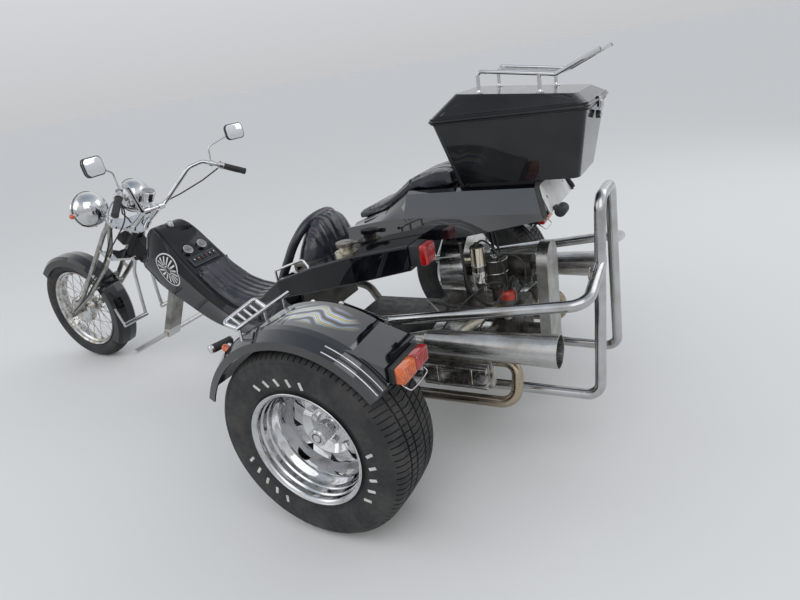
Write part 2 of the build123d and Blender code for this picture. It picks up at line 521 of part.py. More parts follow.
# Frame: steering head with its gusset, square post with the foot bar, bulkhead and rear rails
nose_x = TUB[0][0] + FIT
head = rod(along_neck(-NECK_LENGTH / 2), along_neck(NECK_LENGTH / 2), NECK_R)
gusset = [(NECK_X + x, NECK_Z + z) for x, z in ((-50, 38), (-8, 4), (28, -48), (-17, -112))]
head += side_plate([(nose_x, TUB[0][1] + 12), (nose_x, TUB[0][2] - 6), *gusset], GUSSET_HALF)
head -= rod(along_neck(-NECK_LENGTH), along_neck(NECK_LENGTH), STEM_R + FIT)
post = Pos(FOOT_BAR_X, 0, FOOT_BAR_Z) * Rot(0, -POST_LEAN, 0) * Pos(0, 0, POST_LENGTH / 2 - FOOT_BAR_R - 3)
post = post * Box(POST_T, POST_W, POST_LENGTH) - Pos(0, 0, -FIT) * body
post = main_solid(post)
post += rod((FOOT_BAR_X, -FOOT_BAR_Y, FOOT_BAR_Z), (FOOT_BAR_X, FOOT_BAR_Y, FOOT_BAR_Z), FOOT_BAR_R)
rail = bent([(442, 150, 500), (330, 150, 470), (220, 168, 264), (-20, RAIL_Y, RAIL_Z)], RAIL_R, 60)
axle_bracket = block(-26, 26, RAIL_Y - 9, RAIL_Y + 9, RAIL_Z + 8, REAR_TYRE_R + 8)
axle_bracket -= rod((0, 0, REAR_TYRE_R), (0, 400, REAR_TYRE_R), 32 + FIT)
undercarriage = bulkhead + rod((-20, -RAIL_Y - 20, RAIL_Z), (-20, RAIL_Y + 20, RAIL_Z), RAIL_R)
for piece in both(rail, axle_bracket):
    undercarriage += piece
save("main_frame", head, post, undercarriage)

# Foot controls: a hanger from each side of the gusset, with peg and toe pedal, and the
# passenger's pegs on the fenders
foot_x, foot_z = NECK_X + 34, NECK_Z - 410
hanger = bent([(NECK_X - 17, HANGER_Y, NECK_Z - 86), (NECK_X + 18, HANGER_Y + 3, NECK_Z - 158),
               (foot_x - 4, HANGER_Y + 6, foot_z + 102), (foot_x, HANGER_Y + 10, foot_z)], 9, 60)
hanger += rod((NECK_X - 15, GUSSET_HALF + FIT, NECK_Z - 88), (NECK_X - 15, HANGER_Y + 8, NECK_Z - 88), 12)
hanger += rod((foot_x, HANGER_Y + 2, foot_z), (foot_x, PEG_Y, foot_z - 2), 12)
hanger += bent([(foot_x, PEG_Y - 7, foot_z - 2), (foot_x + 12, PEG_Y - 5, foot_z + 10),
                (foot_x + 42, PEG_Y - 5, foot_z + 90)], 6, 6)


# Rear fenders: a crowned arc with a turned-down lip, and a wedge that carries the lamp
def on_fender(angle, r, y):
    """A point about the rear axle, at an angle above level ahead."""
    return (r * cos(radians(angle)), y, REAR_TYRE_R + r * sin(radians(angle)))


fender_line = [(FENDER_R - 12, FENDER_IN_Y), (FENDER_R, FENDER_IN_Y + 30), (FENDER_R + 2, FENDER_RIDGE_Y - 20),
               (FENDER_R - 3, FENDER_RIDGE_Y), (FENDER_LIP_R, FENDER_LIP_Y), (FENDER_LIP_R - 26, FENDER_LIP_Y + 4)]
sweep_angle = FENDER_REAR_ANGLE - FENDER_FRONT_ANGLE
arch = revolve(Rot(0, -FENDER_FRONT_ANGLE, 0) * strip(fender_line, SHELL), Axis.Y, -sweep_angle)
fender = Pos(0, 0, REAR_TYRE_R) * arch
wedge_line = [on_fender(angle, FENDER_R - SHELL, 0) for angle in (116, 122, 128, 134, 142)]
wedge_low = (WEDGE_X, WEDGE_Z - 63)
wedge = make_face(Polyline((WEDGE_X, WEDGE_Z), *[(x, z) for x, y, z in wedge_line], wedge_low, close=True))
fender += Pos(0, FENDER_RIDGE_Y - 2, 0) * extrude(Plane.XZ * wedge, FENDER_RIDGE_Y - FENDER_IN_Y - 32)
save("rear_fenders", *both(fender))

step_x, step_y, step_z = on_fender(42, FENDER_R + 37, 745)
step = rod((step_x, step_y, step_z), (step_x + 22, step_y + 83, step_z), 12)
step += rod(on_fender(43, FENDER_R - 20, step_y + 19), (step_x + 7, step_y + 25, step_z), 8)
step = main_solid(step - fender)
save("foot_controls", *both(hanger, step))

# Lamps: on the wedges, in the arms' ends and at the fenders' front
tail_lamp = block(WEDGE_X - 53, WEDGE_X - 13, 668, 830, WEDGE_Z - 57, WEDGE_Z - 5)
tail_lamp += block(WEDGE_X - 14, WEDGE_X - FIT, 676, 822, WEDGE_Z - 53, WEDGE_Z - 9)
arm_lamp = block(-245, ARM_REAR_X - FIT, 262, 342, 762, 838)
marker = main_solid(rod(on_fender(45, FENDER_R - 20, 808), on_fender(45, FENDER_R + 28, 808), 14) - fender)
save("lamps", *both(tail_lamp, arm_lamp, marker))

# Engine: crankcase, four finned cylinders, rocker covers and the cooling tin
engine_rear = ENGINE_FRONT_X - CASE_LENGTH
case_top = CRANK_Z + CASE_HIGH
case = block(engine_rear, ENGINE_FRONT_X, -CASE_HALF, CASE_HALF, CRANK_Z - CASE_LOW, case_top)
case += rod((engine_rear, 0, CRANK_Z), (GUARD_X + FIT, 0, CRANK_Z), 34)
save("crankcase", case)
bank = block(engine_rear + 22, ENGINE_FRONT_X - 22, HEAD_Y - 44, HEAD_Y, CRANK_Z - 70, CRANK_Z + 58)
for x in (ENGINE_FRONT_X - 86, ENGINE_FRONT_X - 86 - CYLINDER_PITCH):
    bank += rod((x, CASE_HALF + FIT, CRANK_Z), (x, HEAD_Y - 40, CRANK_Z), BORE_R)
    for i in range(FINS):
        y = CASE_HALF + 12 + i * 18
        bank += rod((x, y, CRANK_Z), (x, y + FIN_T, CRANK_Z), FIN_R)
save("cylinders", *both(bank))
cover = block(engine_rear + 30, ENGINE_FRONT_X - 30, HEAD_Y + FIT, COVER_Y, CRANK_Z - 66, CRANK_Z + 26)
cover = fillet(cover.edges().filter_by(Axis.X).group_by(Axis.Y)[-1], 22)
save("valve_covers", *both(cover))
shroud = rod((SHROUD_X, 0, SHROUD_Z), (SHROUD_X - SHROUD_T, 0, SHROUD_Z), SHROUD_R)
shroud += block(SHROUD_X - SHROUD_T, SHROUD_X, 10 - SHROUD_R, SHROUD_R - 10, case_top + FIT, SHROUD_Z)
save("fan_shroud", shroud)
guard = block(GUARD_X - GUARD_T, GUARD_X, -GUARD_HALF, GUARD_HALF, GUARD_LOW_Z, GUARD_ARC_Z)
guard += rod((GUARD_X - GUARD_T, 0, GUARD_ARC_Z), (GUARD_X, 0, GUARD_ARC_Z), GUARD_HALF)
save("belt_guard", guard)

# Dynamo, carburettor, ignition coil and distributor
shroud_rear = SHROUD_X - SHROUD_T
dynamo = rod((shroud_rear - FIT, DYNAMO_Y, DYNAMO_Z), (-500, DYNAMO_Y, DYNAMO_Z), DYNAMO_R)
dynamo += rod((-500, DYNAMO_Y, DYNAMO_Z), (GUARD_X + FIT, DYNAMO_Y, DYNAMO_Z), 14)
dynamo += block(-430, -340, DYNAMO_Y - 30, DYNAMO_Y + 30, case_top + FIT, DYNAMO_Z - 30)
CARB_X, CARB_Y = -385, 76
carb = rod((CARB_X, CARB_Y, case_top + FIT), (CARB_X, CARB_Y, 600), 20)
carb += block(CARB_X - 24, CARB_X + 32, CARB_Y - 30, CARB_Y + 24, 588, 652)
carb += rod((CARB_X, CARB_Y, 648), (CARB_X, CARB_Y, 704), 46)
save("carburettor", dynamo, carb)
COIL_X, COIL_Y = -350, 152
coil = rod((COIL_X, COIL_Y, 640), (COIL_X, COIL_Y, 770), 26)
coil += block(COIL_X + 8, shroud_rear - FIT, COIL_Y - 42, COIL_Y - 14, 690, 712)
save("ignition_coil", coil)
distributor = rod((-432, 117, case_top + FIT), (-432, 117, 548), 17)
distributor += cone((-432, 117, 540), (-441, 121, 606), 34, 26)
save("distributor", distributor)

# Exhausts: port, U bend below the rocker cover and a megaphone beside it
port = (engine_rear + 22 - FIT, HEAD_Y - 22, CRANK_Z + 32)
header_line = [port, (-520, port[1], port[2]), (-522, 360, 268), (-100, 366, 268), (-88, 380, 440),
               (-158, MEGAPHONE_Y - 6, MEGAPHONE_Z - 1)]
header = bent(header_line, PIPE_R, [46, 58, 58, 50])
megaphone = cone((-158, MEGAPHONE_Y - 6, MEGAPHONE_Z - 2), (-231, MEGAPHONE_Y, MEGAPHONE_Z - 4), PIPE_R + 1, 42)
megaphone += cone((-230, MEGAPHONE_Y, MEGAPHONE_Z - 4), (-690, MEGAPHONE_Y, MEGAPHONE_Z), 42, MEGAPHONE_R)
megaphone -= cone((-300, MEGAPHONE_Y, MEGAPHONE_Z - 3), (-691, MEGAPHONE_Y, MEGAPHONE_Z), 40, MEGAPHONE_R - 3)
save("exhausts", *both(header + megaphone))

# Rear axle: gearbox, axle tubes, brake drums and stub shafts
axle = block(ENGINE_FRONT_X + FIT, 240, -90, 90, 268, 450)
drum_y = REAR_WHEEL_Y - HUB_R - 1
for side in (-1, 1):
    axle += rod((0, 0, REAR_TYRE_R), (0, side * (drum_y - 60), REAR_TYRE_R), 32)
    axle += rod((0, side * (drum_y - 64), REAR_TYRE_R), (0, side * drum_y, REAR_TYRE_R), DRUM_R)
    axle += rod((0, side * drum_y, REAR_TYRE_R), (0, side * (REAR_WHEEL_Y + 18), REAR_TYRE_R), STUB_R)
save("rear_axle", axle)

# Guard tubes: the hoop behind the engine and a tube on each side, on stands from the axle
hoop_line = [(-20, RAIL_Y, RAIL_Z), (HOOP_X, HOOP_LOW_Y, HOOP_LOW_Z), (HOOP_X, HOOP_TOP_Y, HOOP_TOP_Z)]
hoop = bent(hoop_line + [(x, -y, z) for x, y, z in reversed(hoop_line)], HOOP_R, 48)
hoop = main_solid(hoop - undercarriage)
save("rear_hoop", hoop)
side_tube = bent([(60, SIDE_TUBE_Y, 536), (HOOP_X, SIDE_TUBE_Y, 652), (HOOP_X, 138, 700)], HOOP_R, 60)
side_tube += rod((0, SIDE_TUBE_Y, REAR_TYRE_R), (0, SIDE_TUBE_Y, 545), 16)
for x in (50, -60):
    side_tube += rod((x, SIDE_TUBE_Y, 545), (x, FENDER_IN_Y + 12, REAR_TYRE_R + FENDER_R - 16), 11)
save("side_tubes", *both(main_solid(side_tube - hoop - axle - fender)))

# Bright racks on the fenders and handrails on the arms
RACK_X, RACK_BAR_R = 160, 7
rack_z = on_fender(66.9, FENDER_R, 0)[2] + 34
rack = rod((RACK_X, 872, rack_z - 3), (RACK_X, 606, rack_z + 7), RACK_BAR_R)
rack += bent([(RACK_X, 866, rack_z - 2), (RACK_X + 36, 880, rack_z + 20), (RACK_X + 36, 730, rack_z + 35),
              (RACK_X, 722, rack_z + 2)], RACK_BAR_R, 12)
for y in (758, 788, 818, 848):
    rack += rod((RACK_X, y, rack_z + 1), (RACK_X + 36, y, rack_z + 28), 4)
for y in (858, 734, 636):
    rack += rod((RACK_X, y, rack_z + 1), (RACK_X, y, rack_z - 65), 5)
handrail = bent([(500, 268, 630), (500, 268, 704), (352, 262, 752), (316, 262, 700)], 5, 12)
save("chrome_rails", *both(main_solid(rack - fender), main_solid(handrail - body)))


# Top case: a tapered tub on a plinth, its hinged lid and the rack on the lid
def case_section(z, front, rear, width, r=26):
    return Pos((front + rear) / 2, 0, z) * RectangleRounded(front - rear, width, r)


def lid_top(drop, grow):
    slope = radians(LID_SLOPE)
    plane = Plane(origin=(LID_MID_X, 0, LID_MID_Z - drop), x_dir=(cos(slope), 0, sin(slope)),
                  z_dir=(-sin(slope), 0, cos(slope)))
    return plane * RectangleRounded(400 + grow, 254 + grow, 24)


BASE_FRONT_X, BASE_REAR_X, BASE_W = -296, -714, 268
case_tub = loft([case_section(CASE_BASE_Z, BASE_FRONT_X, BASE_REAR_X, BASE_W),
                 case_section(CASE_SEAM_Z, CASE_FRONT_X, CASE_REAR_X, CASE_W)])
case_tub -= loft([case_section(CASE_BASE_Z + CASE_WALL, BASE_FRONT_X - CASE_WALL, BASE_REAR_X + CASE_WALL,
                               BASE_W - 2 * CASE_WALL, 22),
                  case_section(CASE_SEAM_Z + 1, CASE_FRONT_X - CASE_WALL, CASE_REAR_X + CASE_WALL,
                               CASE_W - 2 * CASE_WALL, 22)])
case_tub += block(-560, -330, -100, 100, DECK_TOP_Z + FIT, CASE_BASE_Z + 1)
lid_low, lip_top = CASE_SEAM_Z + 1, CASE_SEAM_Z + 21
lip = case_section(lid_low, CASE_FRONT_X + LID_LIP, CASE_REAR_X - LID_LIP, CASE_W + 2 * LID_LIP)
lid = extrude(lip, lip_top - lid_low)
lid += loft([case_section(lip_top, CASE_FRONT_X + 2, CASE_REAR_X - 2, CASE_W + 4), lid_top(0, 0)])
lid -= loft([case_section(lid_low, CASE_FRONT_X + 2, CASE_REAR_X - 2, CASE_W + 4, 22),
             case_section(lip_top, CASE_FRONT_X - 2, CASE_REAR_X + 2, CASE_W - 4, 22), lid_top(5, -8)], ruled=True)
lid += block(CASE_REAR_X - LID_LIP - 5, CASE_REAR_X - LID_LIP + 1, -24, 24, CASE_SEAM_Z - 12, lip_top)
for side in (-1, 1):
    near, far = side * 66, side * 82
    knuckle = rod((HINGE_X, near, CASE_SEAM_Z), (HINGE_X, far, CASE_SEAM_Z), HINGE_R)
    knuckle += block(CASE_FRONT_X - 4, HINGE_X, near, far, CASE_SEAM_Z - 9, CASE_SEAM_Z - 3)
    case_tub += knuckle - rod((HINGE_X, side * 50, CASE_SEAM_Z), (HINGE_X, side * 110, CASE_SEAM_Z), PIN_R + FIT)
    near, far = side * 84, side * 100
    lid += rod((HINGE_X, near, CASE_SEAM_Z), (HINGE_X, far, CASE_SEAM_Z), HINGE_R)
    lid += block(CASE_FRONT_X + 4, HINGE_X, near, far, lid_low + 1, lid_low + 6)
    lid += rod((HINGE_X, side * 64, CASE_SEAM_Z), (HINGE_X, side * 92, CASE_SEAM_Z), PIN_R)
save("top_case_tub", case_tub)
save("top_case_lid", lid)
rail = bent([(-400, RACK_Y, LID_MID_Z), (-400, RACK_Y, RACK_Z), (-650, RACK_Y, RACK_Z - 40),
             (-784, RACK_Y, RACK_Z + 16)], 6, 14)
rail += rod((-600, RACK_Y, LID_MID_Z - 20), (-600, RACK_Y, RACK_Z - 32), 6)
lid_rack = rail + mirrored(rail)
for x, z in ((-424, RACK_Z - 8), (-650, RACK_Z - 43), (-781, RACK_Z + 11)):
    lid_rack += rod((x, -RACK_Y, z), (x, RACK_Y, z), 4)
slat = strip([(-414, RACK_Z - 3), (-650, RACK_Z - 40), (-784, RACK_Z + 15)], SLAT_T)
for i in range(RACK_SLATS):
    y = (i - (RACK_SLATS - 1) / 2) * SLAT_PITCH
    lid_rack += Pos(0, y, 0) * extrude(Plane.XZ * slat, SLAT_W / 2, both=True)
save("lid_rack", main_solid(lid_rack - Pos(0, 0, FIT) * lid))
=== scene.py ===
# %% [markdown]
# # A motorized trike, dressed in Blender
#
# The solid parts of this three-wheeler come from a CAD model and stay exactly where they are.
# This lesson adds what the eye looks for next: tyre tread, pleated vinyl, lamps with lenses, wiring,
# weld beads, and finishes with dust, brushing and heat tint in them.

# %% Load the CAD frame
from math import cos, pi, radians, sin

import bpy
from mathutils import Matrix, Vector


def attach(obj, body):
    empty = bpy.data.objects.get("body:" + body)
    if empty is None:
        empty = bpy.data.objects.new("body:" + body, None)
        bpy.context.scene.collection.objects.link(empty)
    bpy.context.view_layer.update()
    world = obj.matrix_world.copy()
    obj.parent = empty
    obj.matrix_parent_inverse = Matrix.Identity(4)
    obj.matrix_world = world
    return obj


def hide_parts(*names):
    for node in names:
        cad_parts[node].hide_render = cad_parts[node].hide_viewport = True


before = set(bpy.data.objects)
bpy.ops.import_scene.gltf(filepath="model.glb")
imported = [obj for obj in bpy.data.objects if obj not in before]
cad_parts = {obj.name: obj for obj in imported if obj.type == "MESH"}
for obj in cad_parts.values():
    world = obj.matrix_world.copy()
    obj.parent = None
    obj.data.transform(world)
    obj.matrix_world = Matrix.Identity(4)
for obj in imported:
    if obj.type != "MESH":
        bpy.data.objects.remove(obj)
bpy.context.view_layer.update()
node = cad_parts
scene = bpy.context.scene

# %% [markdown]
# ## The camera
#
# The camera stands to the left of the vehicle and behind it, at head height. It points down by about 22
# degrees and leans a little. Its place, its two angles and its lean are turned into its three axes, as it
# looks along its own -Z. Every length in this lesson is in metres, with X forward, Y to the left and Z up,
# and the origin on the ground in the middle.

# %% Places, directions and the camera
REAR_AXLE_X = -0.9195          # the CAD source measures from the rear axle, so places here start from it
UP, AHEAD, BACK_WAY = (0, 0, 1), (1, 0, 0), (-1, 0, 0)


def ax(x, y, z):
    """A place measured from the ground point below the rear axle."""
    return Vector((x + REAR_AXLE_X, y, z))


def axes(origin, x, y, z):
    """A matrix that lays X, Y and Z along three given directions and moves to a place."""
    return Matrix.Translation(origin) @ Matrix((x, y, z)).transposed().to_4x4()


def aim_camera(place, heading, pitch, lean, lens):
    yaw, down, roll = radians(heading), radians(pitch), radians(lean)
    forward = Vector((cos(down) * cos(yaw), cos(down) * sin(yaw), -sin(down)))
    right = forward.cross(Vector(UP)).normalized()
    up = right.cross(forward)
    right, up = cos(roll) * right + sin(roll) * up, cos(roll) * up - sin(roll) * right
    camera = bpy.data.objects.new("photo_camera", bpy.data.cameras.new("photo_camera"))
    scene.collection.objects.link(camera)
    camera.matrix_world = axes(place, right, up, -forward)
    camera.data.lens, camera.data.sensor_width = lens, 36
    camera.data.clip_start, camera.data.clip_end = 0.05, 400
    scene.camera = camera
    return camera


camera = aim_camera(ax(-1.122, 2.043, 1.422), heading=-59.32, pitch=21.73, lean=-9.5, lens=26.65)
print("camera at", tuple(round(v, 3) for v in camera.location))

# %% [markdown]
# ## Floor and light
#
# Gloss black and chrome are made of what they reflect. A wide pale floor, a pale sky that is a little
# darker overhead, and three large soft lamps give them long clean gradients. The sky's brightness depends
# on the direction only, through a gradient on the height of the view direction.


# %% Helpers for nodes
def feed(tree, socket, value):
    """Link an output or a signal to a socket, or set the socket's value."""
    value = getattr(value, "socket", value)
    if isinstance(value, bpy.types.NodeSocket):
        tree.links.new(value, socket)
    else:
        socket.default_value = value


def add_node(tree, kind, settings=None, **sockets):
    """A new node. Its settings are set first, then its sockets, with _ for a space in a socket's name."""
    made = tree.nodes.new(f"ShaderNode{kind}")
    for key, value in (settings or {}).items():
        setattr(made, key, value)
    for label, value in sockets.items():
        feed(tree, made.inputs[label.replace("_", " ")], value)
    return made


def plain_material(name):
    """A new material with its tree and shader."""
    mat = bpy.data.materials.new(name)
    mat.use_nodes = True
    return mat, mat.node_tree, mat.node_tree.nodes["Principled BSDF"].inputs


# %% Floor
bpy.ops.object.select_all(action="DESELECT")
bpy.ops.mesh.primitive_plane_add(size=380)
floor = bpy.context.active_object
floor.name = "studio_floor"
floor_mat, _, sockets = plain_material("pale floor")
sockets["Base Color"].default_value = (0.74, 0.735, 0.72, 1)
sockets["Roughness"].default_value = 0.75
floor.data.materials.append(floor_mat)

# %% Sky
# Columns: height of the view direction, from 0 straight down to 1 straight up; brightness
SKY = [(0.3, (0.34, 0.34, 0.34)), (0.5, (0.555, 0.565, 0.575)), (0.6, (0.68, 0.7, 0.73)),
    (0.76, (0.98, 0.99, 1.0)), (0.88, (0.66, 0.71, 0.78)), (1.0, (0.4, 0.45, 0.52))]
scene.world = bpy.data.worlds.new("pale sky")
scene.world.use_nodes = True
sky = scene.world.node_tree
height = add_node(sky, "SeparateXYZ", Vector=add_node(sky, "TexCoord").outputs["Generated"])
spread = add_node(sky, "MapRange", From_Min=-1, From_Max=1, Value=height.outputs["Z"])
ramp = add_node(sky, "ValToRGB", Fac=spread.outputs["Result"])
stops = ramp.color_ramp.elements
for number, (at, colour) in enumerate(SKY):
    stop = stops[number] if number < 2 else stops.new(at)
    stop.position, stop.color = at, (*colour, 1)
feed(sky, sky.nodes["Background"].inputs["Color"], ramp.outputs["Color"])
sky.nodes["Background"].inputs["Strength"].default_value = 1.0

# %% Soft lamps
# Columns: name, place, size, power
LAMPS = [("key", (-2.6, 3.4, 4.6), 4.6, 72), ("fill", (3.6, 3.0, 3.2), 3.2, 26),
    ("back", (-3.4, -3.6, 3.6), 3.4, 34)]
AIM = Vector((0, 0, 0.5))
for name, place, size, power in LAMPS:
    lamp = bpy.data.objects.new(f"lamp_{name}", bpy.data.lights.new(name, "AREA"))
    scene.collection.objects.link(lamp)
    lamp.data.energy, lamp.data.size = power, size
    lamp.location = place
    lamp.rotation_euler = (AIM - Vector(place)).to_track_quat("-Z", "Y").to_euler()
scene.view_settings.view_transform = "Standard"
print("lamps:", [row[0] for row in LAMPS])

# %% [markdown]
# ## Effects that several finishes share
#
# Real surfaces are never even. Three small node groups give every finish its unevenness, each with its
# own values: soft patches of a second tone, fine lines for brushed or wiped metal, and a grain for bumps.
# A group is made once; its sockets are added through its interface, and a finish sets them on the group's
# node.


# %% Arithmetic in a shader
class Signal:
    """A number that the shader works out. Plain arithmetic with it adds Math nodes."""

    def __init__(self, tree, socket):
        self.tree, self.socket = tree, socket

    def math(self, operation, other=0.0):
        made = add_node(self.tree, "Math", {"operation": operation})
        feed(self.tree, made.inputs[0], self)
        feed(self.tree, made.inputs[1], other)
        return Signal(self.tree, made.outputs[0])

    def __add__(self, other):
        return self.math("ADD", other)

    def __sub__(self, other):
        return self.math("SUBTRACT", other)

    def __mul__(self, other):
        return self.math("MULTIPLY", other)

    def __truediv__(self, other):
        return self.math("DIVIDE", other)


def coordinates(tree):
    """The three Object coordinates, which are places on the vehicle."""
    split = add_node(tree, "SeparateXYZ", Vector=add_node(tree, "TexCoord").outputs["Object"])
    return [Signal(tree, split.outputs[letter]) for letter in "XYZ"]


# %% A node group with named sockets
def node_group(name, inputs, output):
    """The group, its inputs to read from and the socket that takes its result."""
    group = bpy.data.node_groups.new(name, "ShaderNodeTree")
    for label, value in inputs.items():
        socket = group.interface.new_socket(name=label, in_out="INPUT", socket_type="NodeSocketFloat")
        socket.default_value = value
    group.interface.new_socket(name=output, in_out="OUTPUT", socket_type="NodeSocketFloat")
    return group, group.nodes.new("NodeGroupInput").outputs, group.nodes.new("NodeGroupOutput").inputs[0]


# %% Soft patches, as of dust, wear or faded paint
patches, given, result = node_group("soft patches", {"Scale": 5, "Low": 0.4, "High": 0.65, "Detail": 6},
    "Mask")
place = add_node(patches, "TexCoord").outputs["Object"]
noise = add_node(patches, "TexNoise", Vector=place, Scale=given["Scale"], Detail=given["Detail"])
limits = add_node(patches, "MapRange", Value=noise.outputs["Fac"], From_Min=given["Low"],
    From_Max=given["High"])
feed(patches, result, limits.outputs["Result"])

# %% Fine lines, drawn out along one direction by unequal scales
lines, given, result = node_group("fine lines", {"Along X": 4, "Along Y": 300, "Along Z": 300}, "Value")
scaled = {letter: at * given[f"Along {letter}"] for letter, at in zip("XYZ", coordinates(lines))}
join = add_node(lines, "CombineXYZ", **scaled)
noise = add_node(lines, "TexNoise", Vector=join.outputs[0], Scale=1, Detail=3)
feed(lines, result, noise.outputs["Fac"])

# %% Grain: small round cells, mixed with a finer noise
grain, given, result = node_group("grain", {"Scale": 300, "Roughness": 0.5}, "Height")
place = add_node(grain, "TexCoord").outputs["Object"]
cells = add_node(grain, "TexVoronoi", {"feature": "SMOOTH_F1"}, Vector=place, Scale=given["Scale"])
noise = add_node(grain, "TexNoise", Vector=place, Scale=given["Scale"])
blend = add_node(grain, "Mix", Factor=given["Roughness"], A=cells.outputs["Distance"],
    B=noise.outputs["Fac"])
feed(grain, result, blend.outputs["Result"])
print("shared effects:", [g.name for g in bpy.data.node_groups])

# %% [markdown]
# ## Finishes
#
# Every finish starts from the same recipe: two tones mixed by soft patches, a roughness that varies with
# fine lines, and a bump from the grain. What makes gloss paint differ from cast iron is the numbers, and
# whatever a finish adds afterwards. Values such as metal and coat are plain numbers on the shader's
# own sockets.


# %% The common recipe
def finish(name, tones, rough, patch=(6, 0.42, 0.68), line=(40, 40, 40), bump=(400, 0.5, 0.02), metal=0.0,
        coat=0.0, gloss=0.5):
    """tones: two colours; rough: lowest and highest; patch: scale, low, high; line: per metre along X, Y, Z;
    bump: grain scale, share of noise, strength; gloss: the specular level under the coat."""
    mat, tree, shader = plain_material(name)
    soft = add_node(tree, "Group", {"node_tree": patches}, Scale=patch[0], Low=patch[1], High=patch[2])
    two = add_node(tree, "Mix", {"data_type": "RGBA"}, A=(*tones[0], 1), B=(*tones[1], 1),
        Factor=soft.outputs["Mask"])
    fine = add_node(tree, "Group", {"node_tree": lines}, Along_X=line[0], Along_Y=line[1], Along_Z=line[2])
    spread = add_node(tree, "MapRange", From_Min=0.3, From_Max=0.7, To_Min=rough[0], To_Max=rough[1],
        Value=fine.outputs["Value"])
    cells = add_node(tree, "Group", {"node_tree": grain}, Scale=bump[0], Roughness=bump[1])
    dents = add_node(tree, "Bump", Strength=bump[2], Distance=0.002, Height=cells.outputs["Height"])
    for label, value in (("Base Color", two.outputs["Result"]), ("Roughness", spread.outputs["Result"]),
            ("Normal", dents.outputs["Normal"]), ("Metallic", metal), ("Coat Weight", coat),
            ("Coat Roughness", 0.03), ("Specular IOR Level", gloss)):
        feed(tree, shader[label], value)
    mat.diffuse_color = (*tones[0], 1)
    return mat


# %% Finishes of paint, plastic, vinyl and rubber
GLOSS_BLACK = dict(tones=((0.003, 0.0035, 0.005), (0.011, 0.012, 0.015)), rough=(0.04, 0.11),
    patch=(9, 0.5, 0.8), line=(30, 30, 30), bump=(90, 1.0, 0.01), coat=0.9, gloss=0.1)
black_paint = finish("black gloss paint", **GLOSS_BLACK)
case_plastic = finish("case plastic", ((0.005, 0.005, 0.006), (0.014, 0.014, 0.015)), (0.1, 0.24),
    patch=(7, 0.45, 0.75), line=(60, 60, 20), bump=(160, 0.8, 0.03), coat=0.7, gloss=0.12)
vinyl = finish("blue black vinyl", ((0.01, 0.011, 0.018), (0.022, 0.024, 0.036)), (0.22, 0.38),
    patch=(14, 0.4, 0.7), line=(25, 25, 25), bump=(620, 0.25, 0.14), coat=0.45)
matt_black = finish("matt black", ((0.018, 0.018, 0.019), (0.035, 0.034, 0.032)), (0.45, 0.65),
    bump=(500, 0.5, 0.1))
dash_plastic = finish("dash plastic", ((0.03, 0.036, 0.052), (0.046, 0.053, 0.07)), (0.22, 0.36), coat=0.3,
    bump=(700, 0.4, 0.08))
rubber = finish("rubber", ((0.02, 0.02, 0.021), (0.045, 0.044, 0.042)), (0.6, 0.8), bump=(350, 0.6, 0.12))
tyre_rubber = finish("tyre rubber", ((0.017, 0.017, 0.018), (0.046, 0.044, 0.041)), (0.55, 0.8),
    patch=(11, 0.42, 0.72), line=(55, 55, 55), bump=(420, 0.7, 0.18))
plate_paint = finish("plate paint", ((0.8, 0.8, 0.78), (0.66, 0.66, 0.63)), (0.3, 0.45),
    patch=(20, 0.5, 0.8))

# %% Finishes of metal
chrome = finish("chrome", ((0.62, 0.625, 0.635), (0.44, 0.435, 0.425)), (0.03, 0.12), patch=(24, 0.5, 0.78),
    line=(90, 90, 90), bump=(60, 1.0, 0.015), metal=1.0)
aged_chrome = finish("aged chrome", ((0.6, 0.6, 0.6), (0.36, 0.31, 0.25)), (0.1, 0.28),
    patch=(30, 0.42, 0.66), line=(90, 90, 90), bump=(90, 0.9, 0.04), metal=1.0)
frame_steel = finish("frame steel", ((0.3, 0.29, 0.275), (0.16, 0.148, 0.13)), (0.28, 0.48),
    patch=(14, 0.42, 0.7), bump=(260, 0.8, 0.08), metal=0.9)
stainless = finish("brushed stainless", ((0.55, 0.555, 0.56), (0.4, 0.39, 0.375)), (0.14, 0.27),
    patch=(10, 0.42, 0.7), line=(5, 240, 240), bump=(300, 0.9, 0.03), metal=1.0)
dull_steel = finish("dull steel", ((0.42, 0.415, 0.4), (0.26, 0.245, 0.22)), (0.24, 0.44),
    patch=(16, 0.42, 0.68), line=(120, 120, 120), bump=(260, 0.8, 0.08), metal=1.0)
polished = finish("polished alloy", ((0.68, 0.68, 0.67), (0.48, 0.46, 0.42)), (0.12, 0.28),
    patch=(18, 0.45, 0.7), line=(80, 80, 240), bump=(220, 0.8, 0.04), metal=1.0)
cylinder_metal = finish("aged alloy", ((0.64, 0.62, 0.57), (0.34, 0.31, 0.26)), (0.28, 0.5),
    patch=(26, 0.38, 0.64), line=(60, 240, 60), bump=(260, 0.6, 0.25), metal=1.0)
cast_metal = finish("greasy cast metal", ((0.115, 0.108, 0.1), (0.034, 0.029, 0.025)), (0.38, 0.66),
    patch=(22, 0.38, 0.62), line=(60, 60, 60), bump=(240, 0.5, 0.45), metal=0.65)
black_tin = finish("black tin", ((0.022, 0.022, 0.023), (0.06, 0.055, 0.05)), (0.28, 0.5),
    patch=(18, 0.45, 0.7), bump=(300, 0.7, 0.08))
exhaust_steel = finish("exhaust steel", ((0.5, 0.5, 0.49), (0.34, 0.325, 0.3)), (0.18, 0.36),
    patch=(14, 0.42, 0.7), line=(8, 420, 420), bump=(300, 0.9, 0.05), metal=1.0)
coil_can = finish("coil can", ((0.7, 0.69, 0.66), (0.5, 0.47, 0.41)), (0.08, 0.2), metal=1.0,
    patch=(30, 0.5, 0.8))
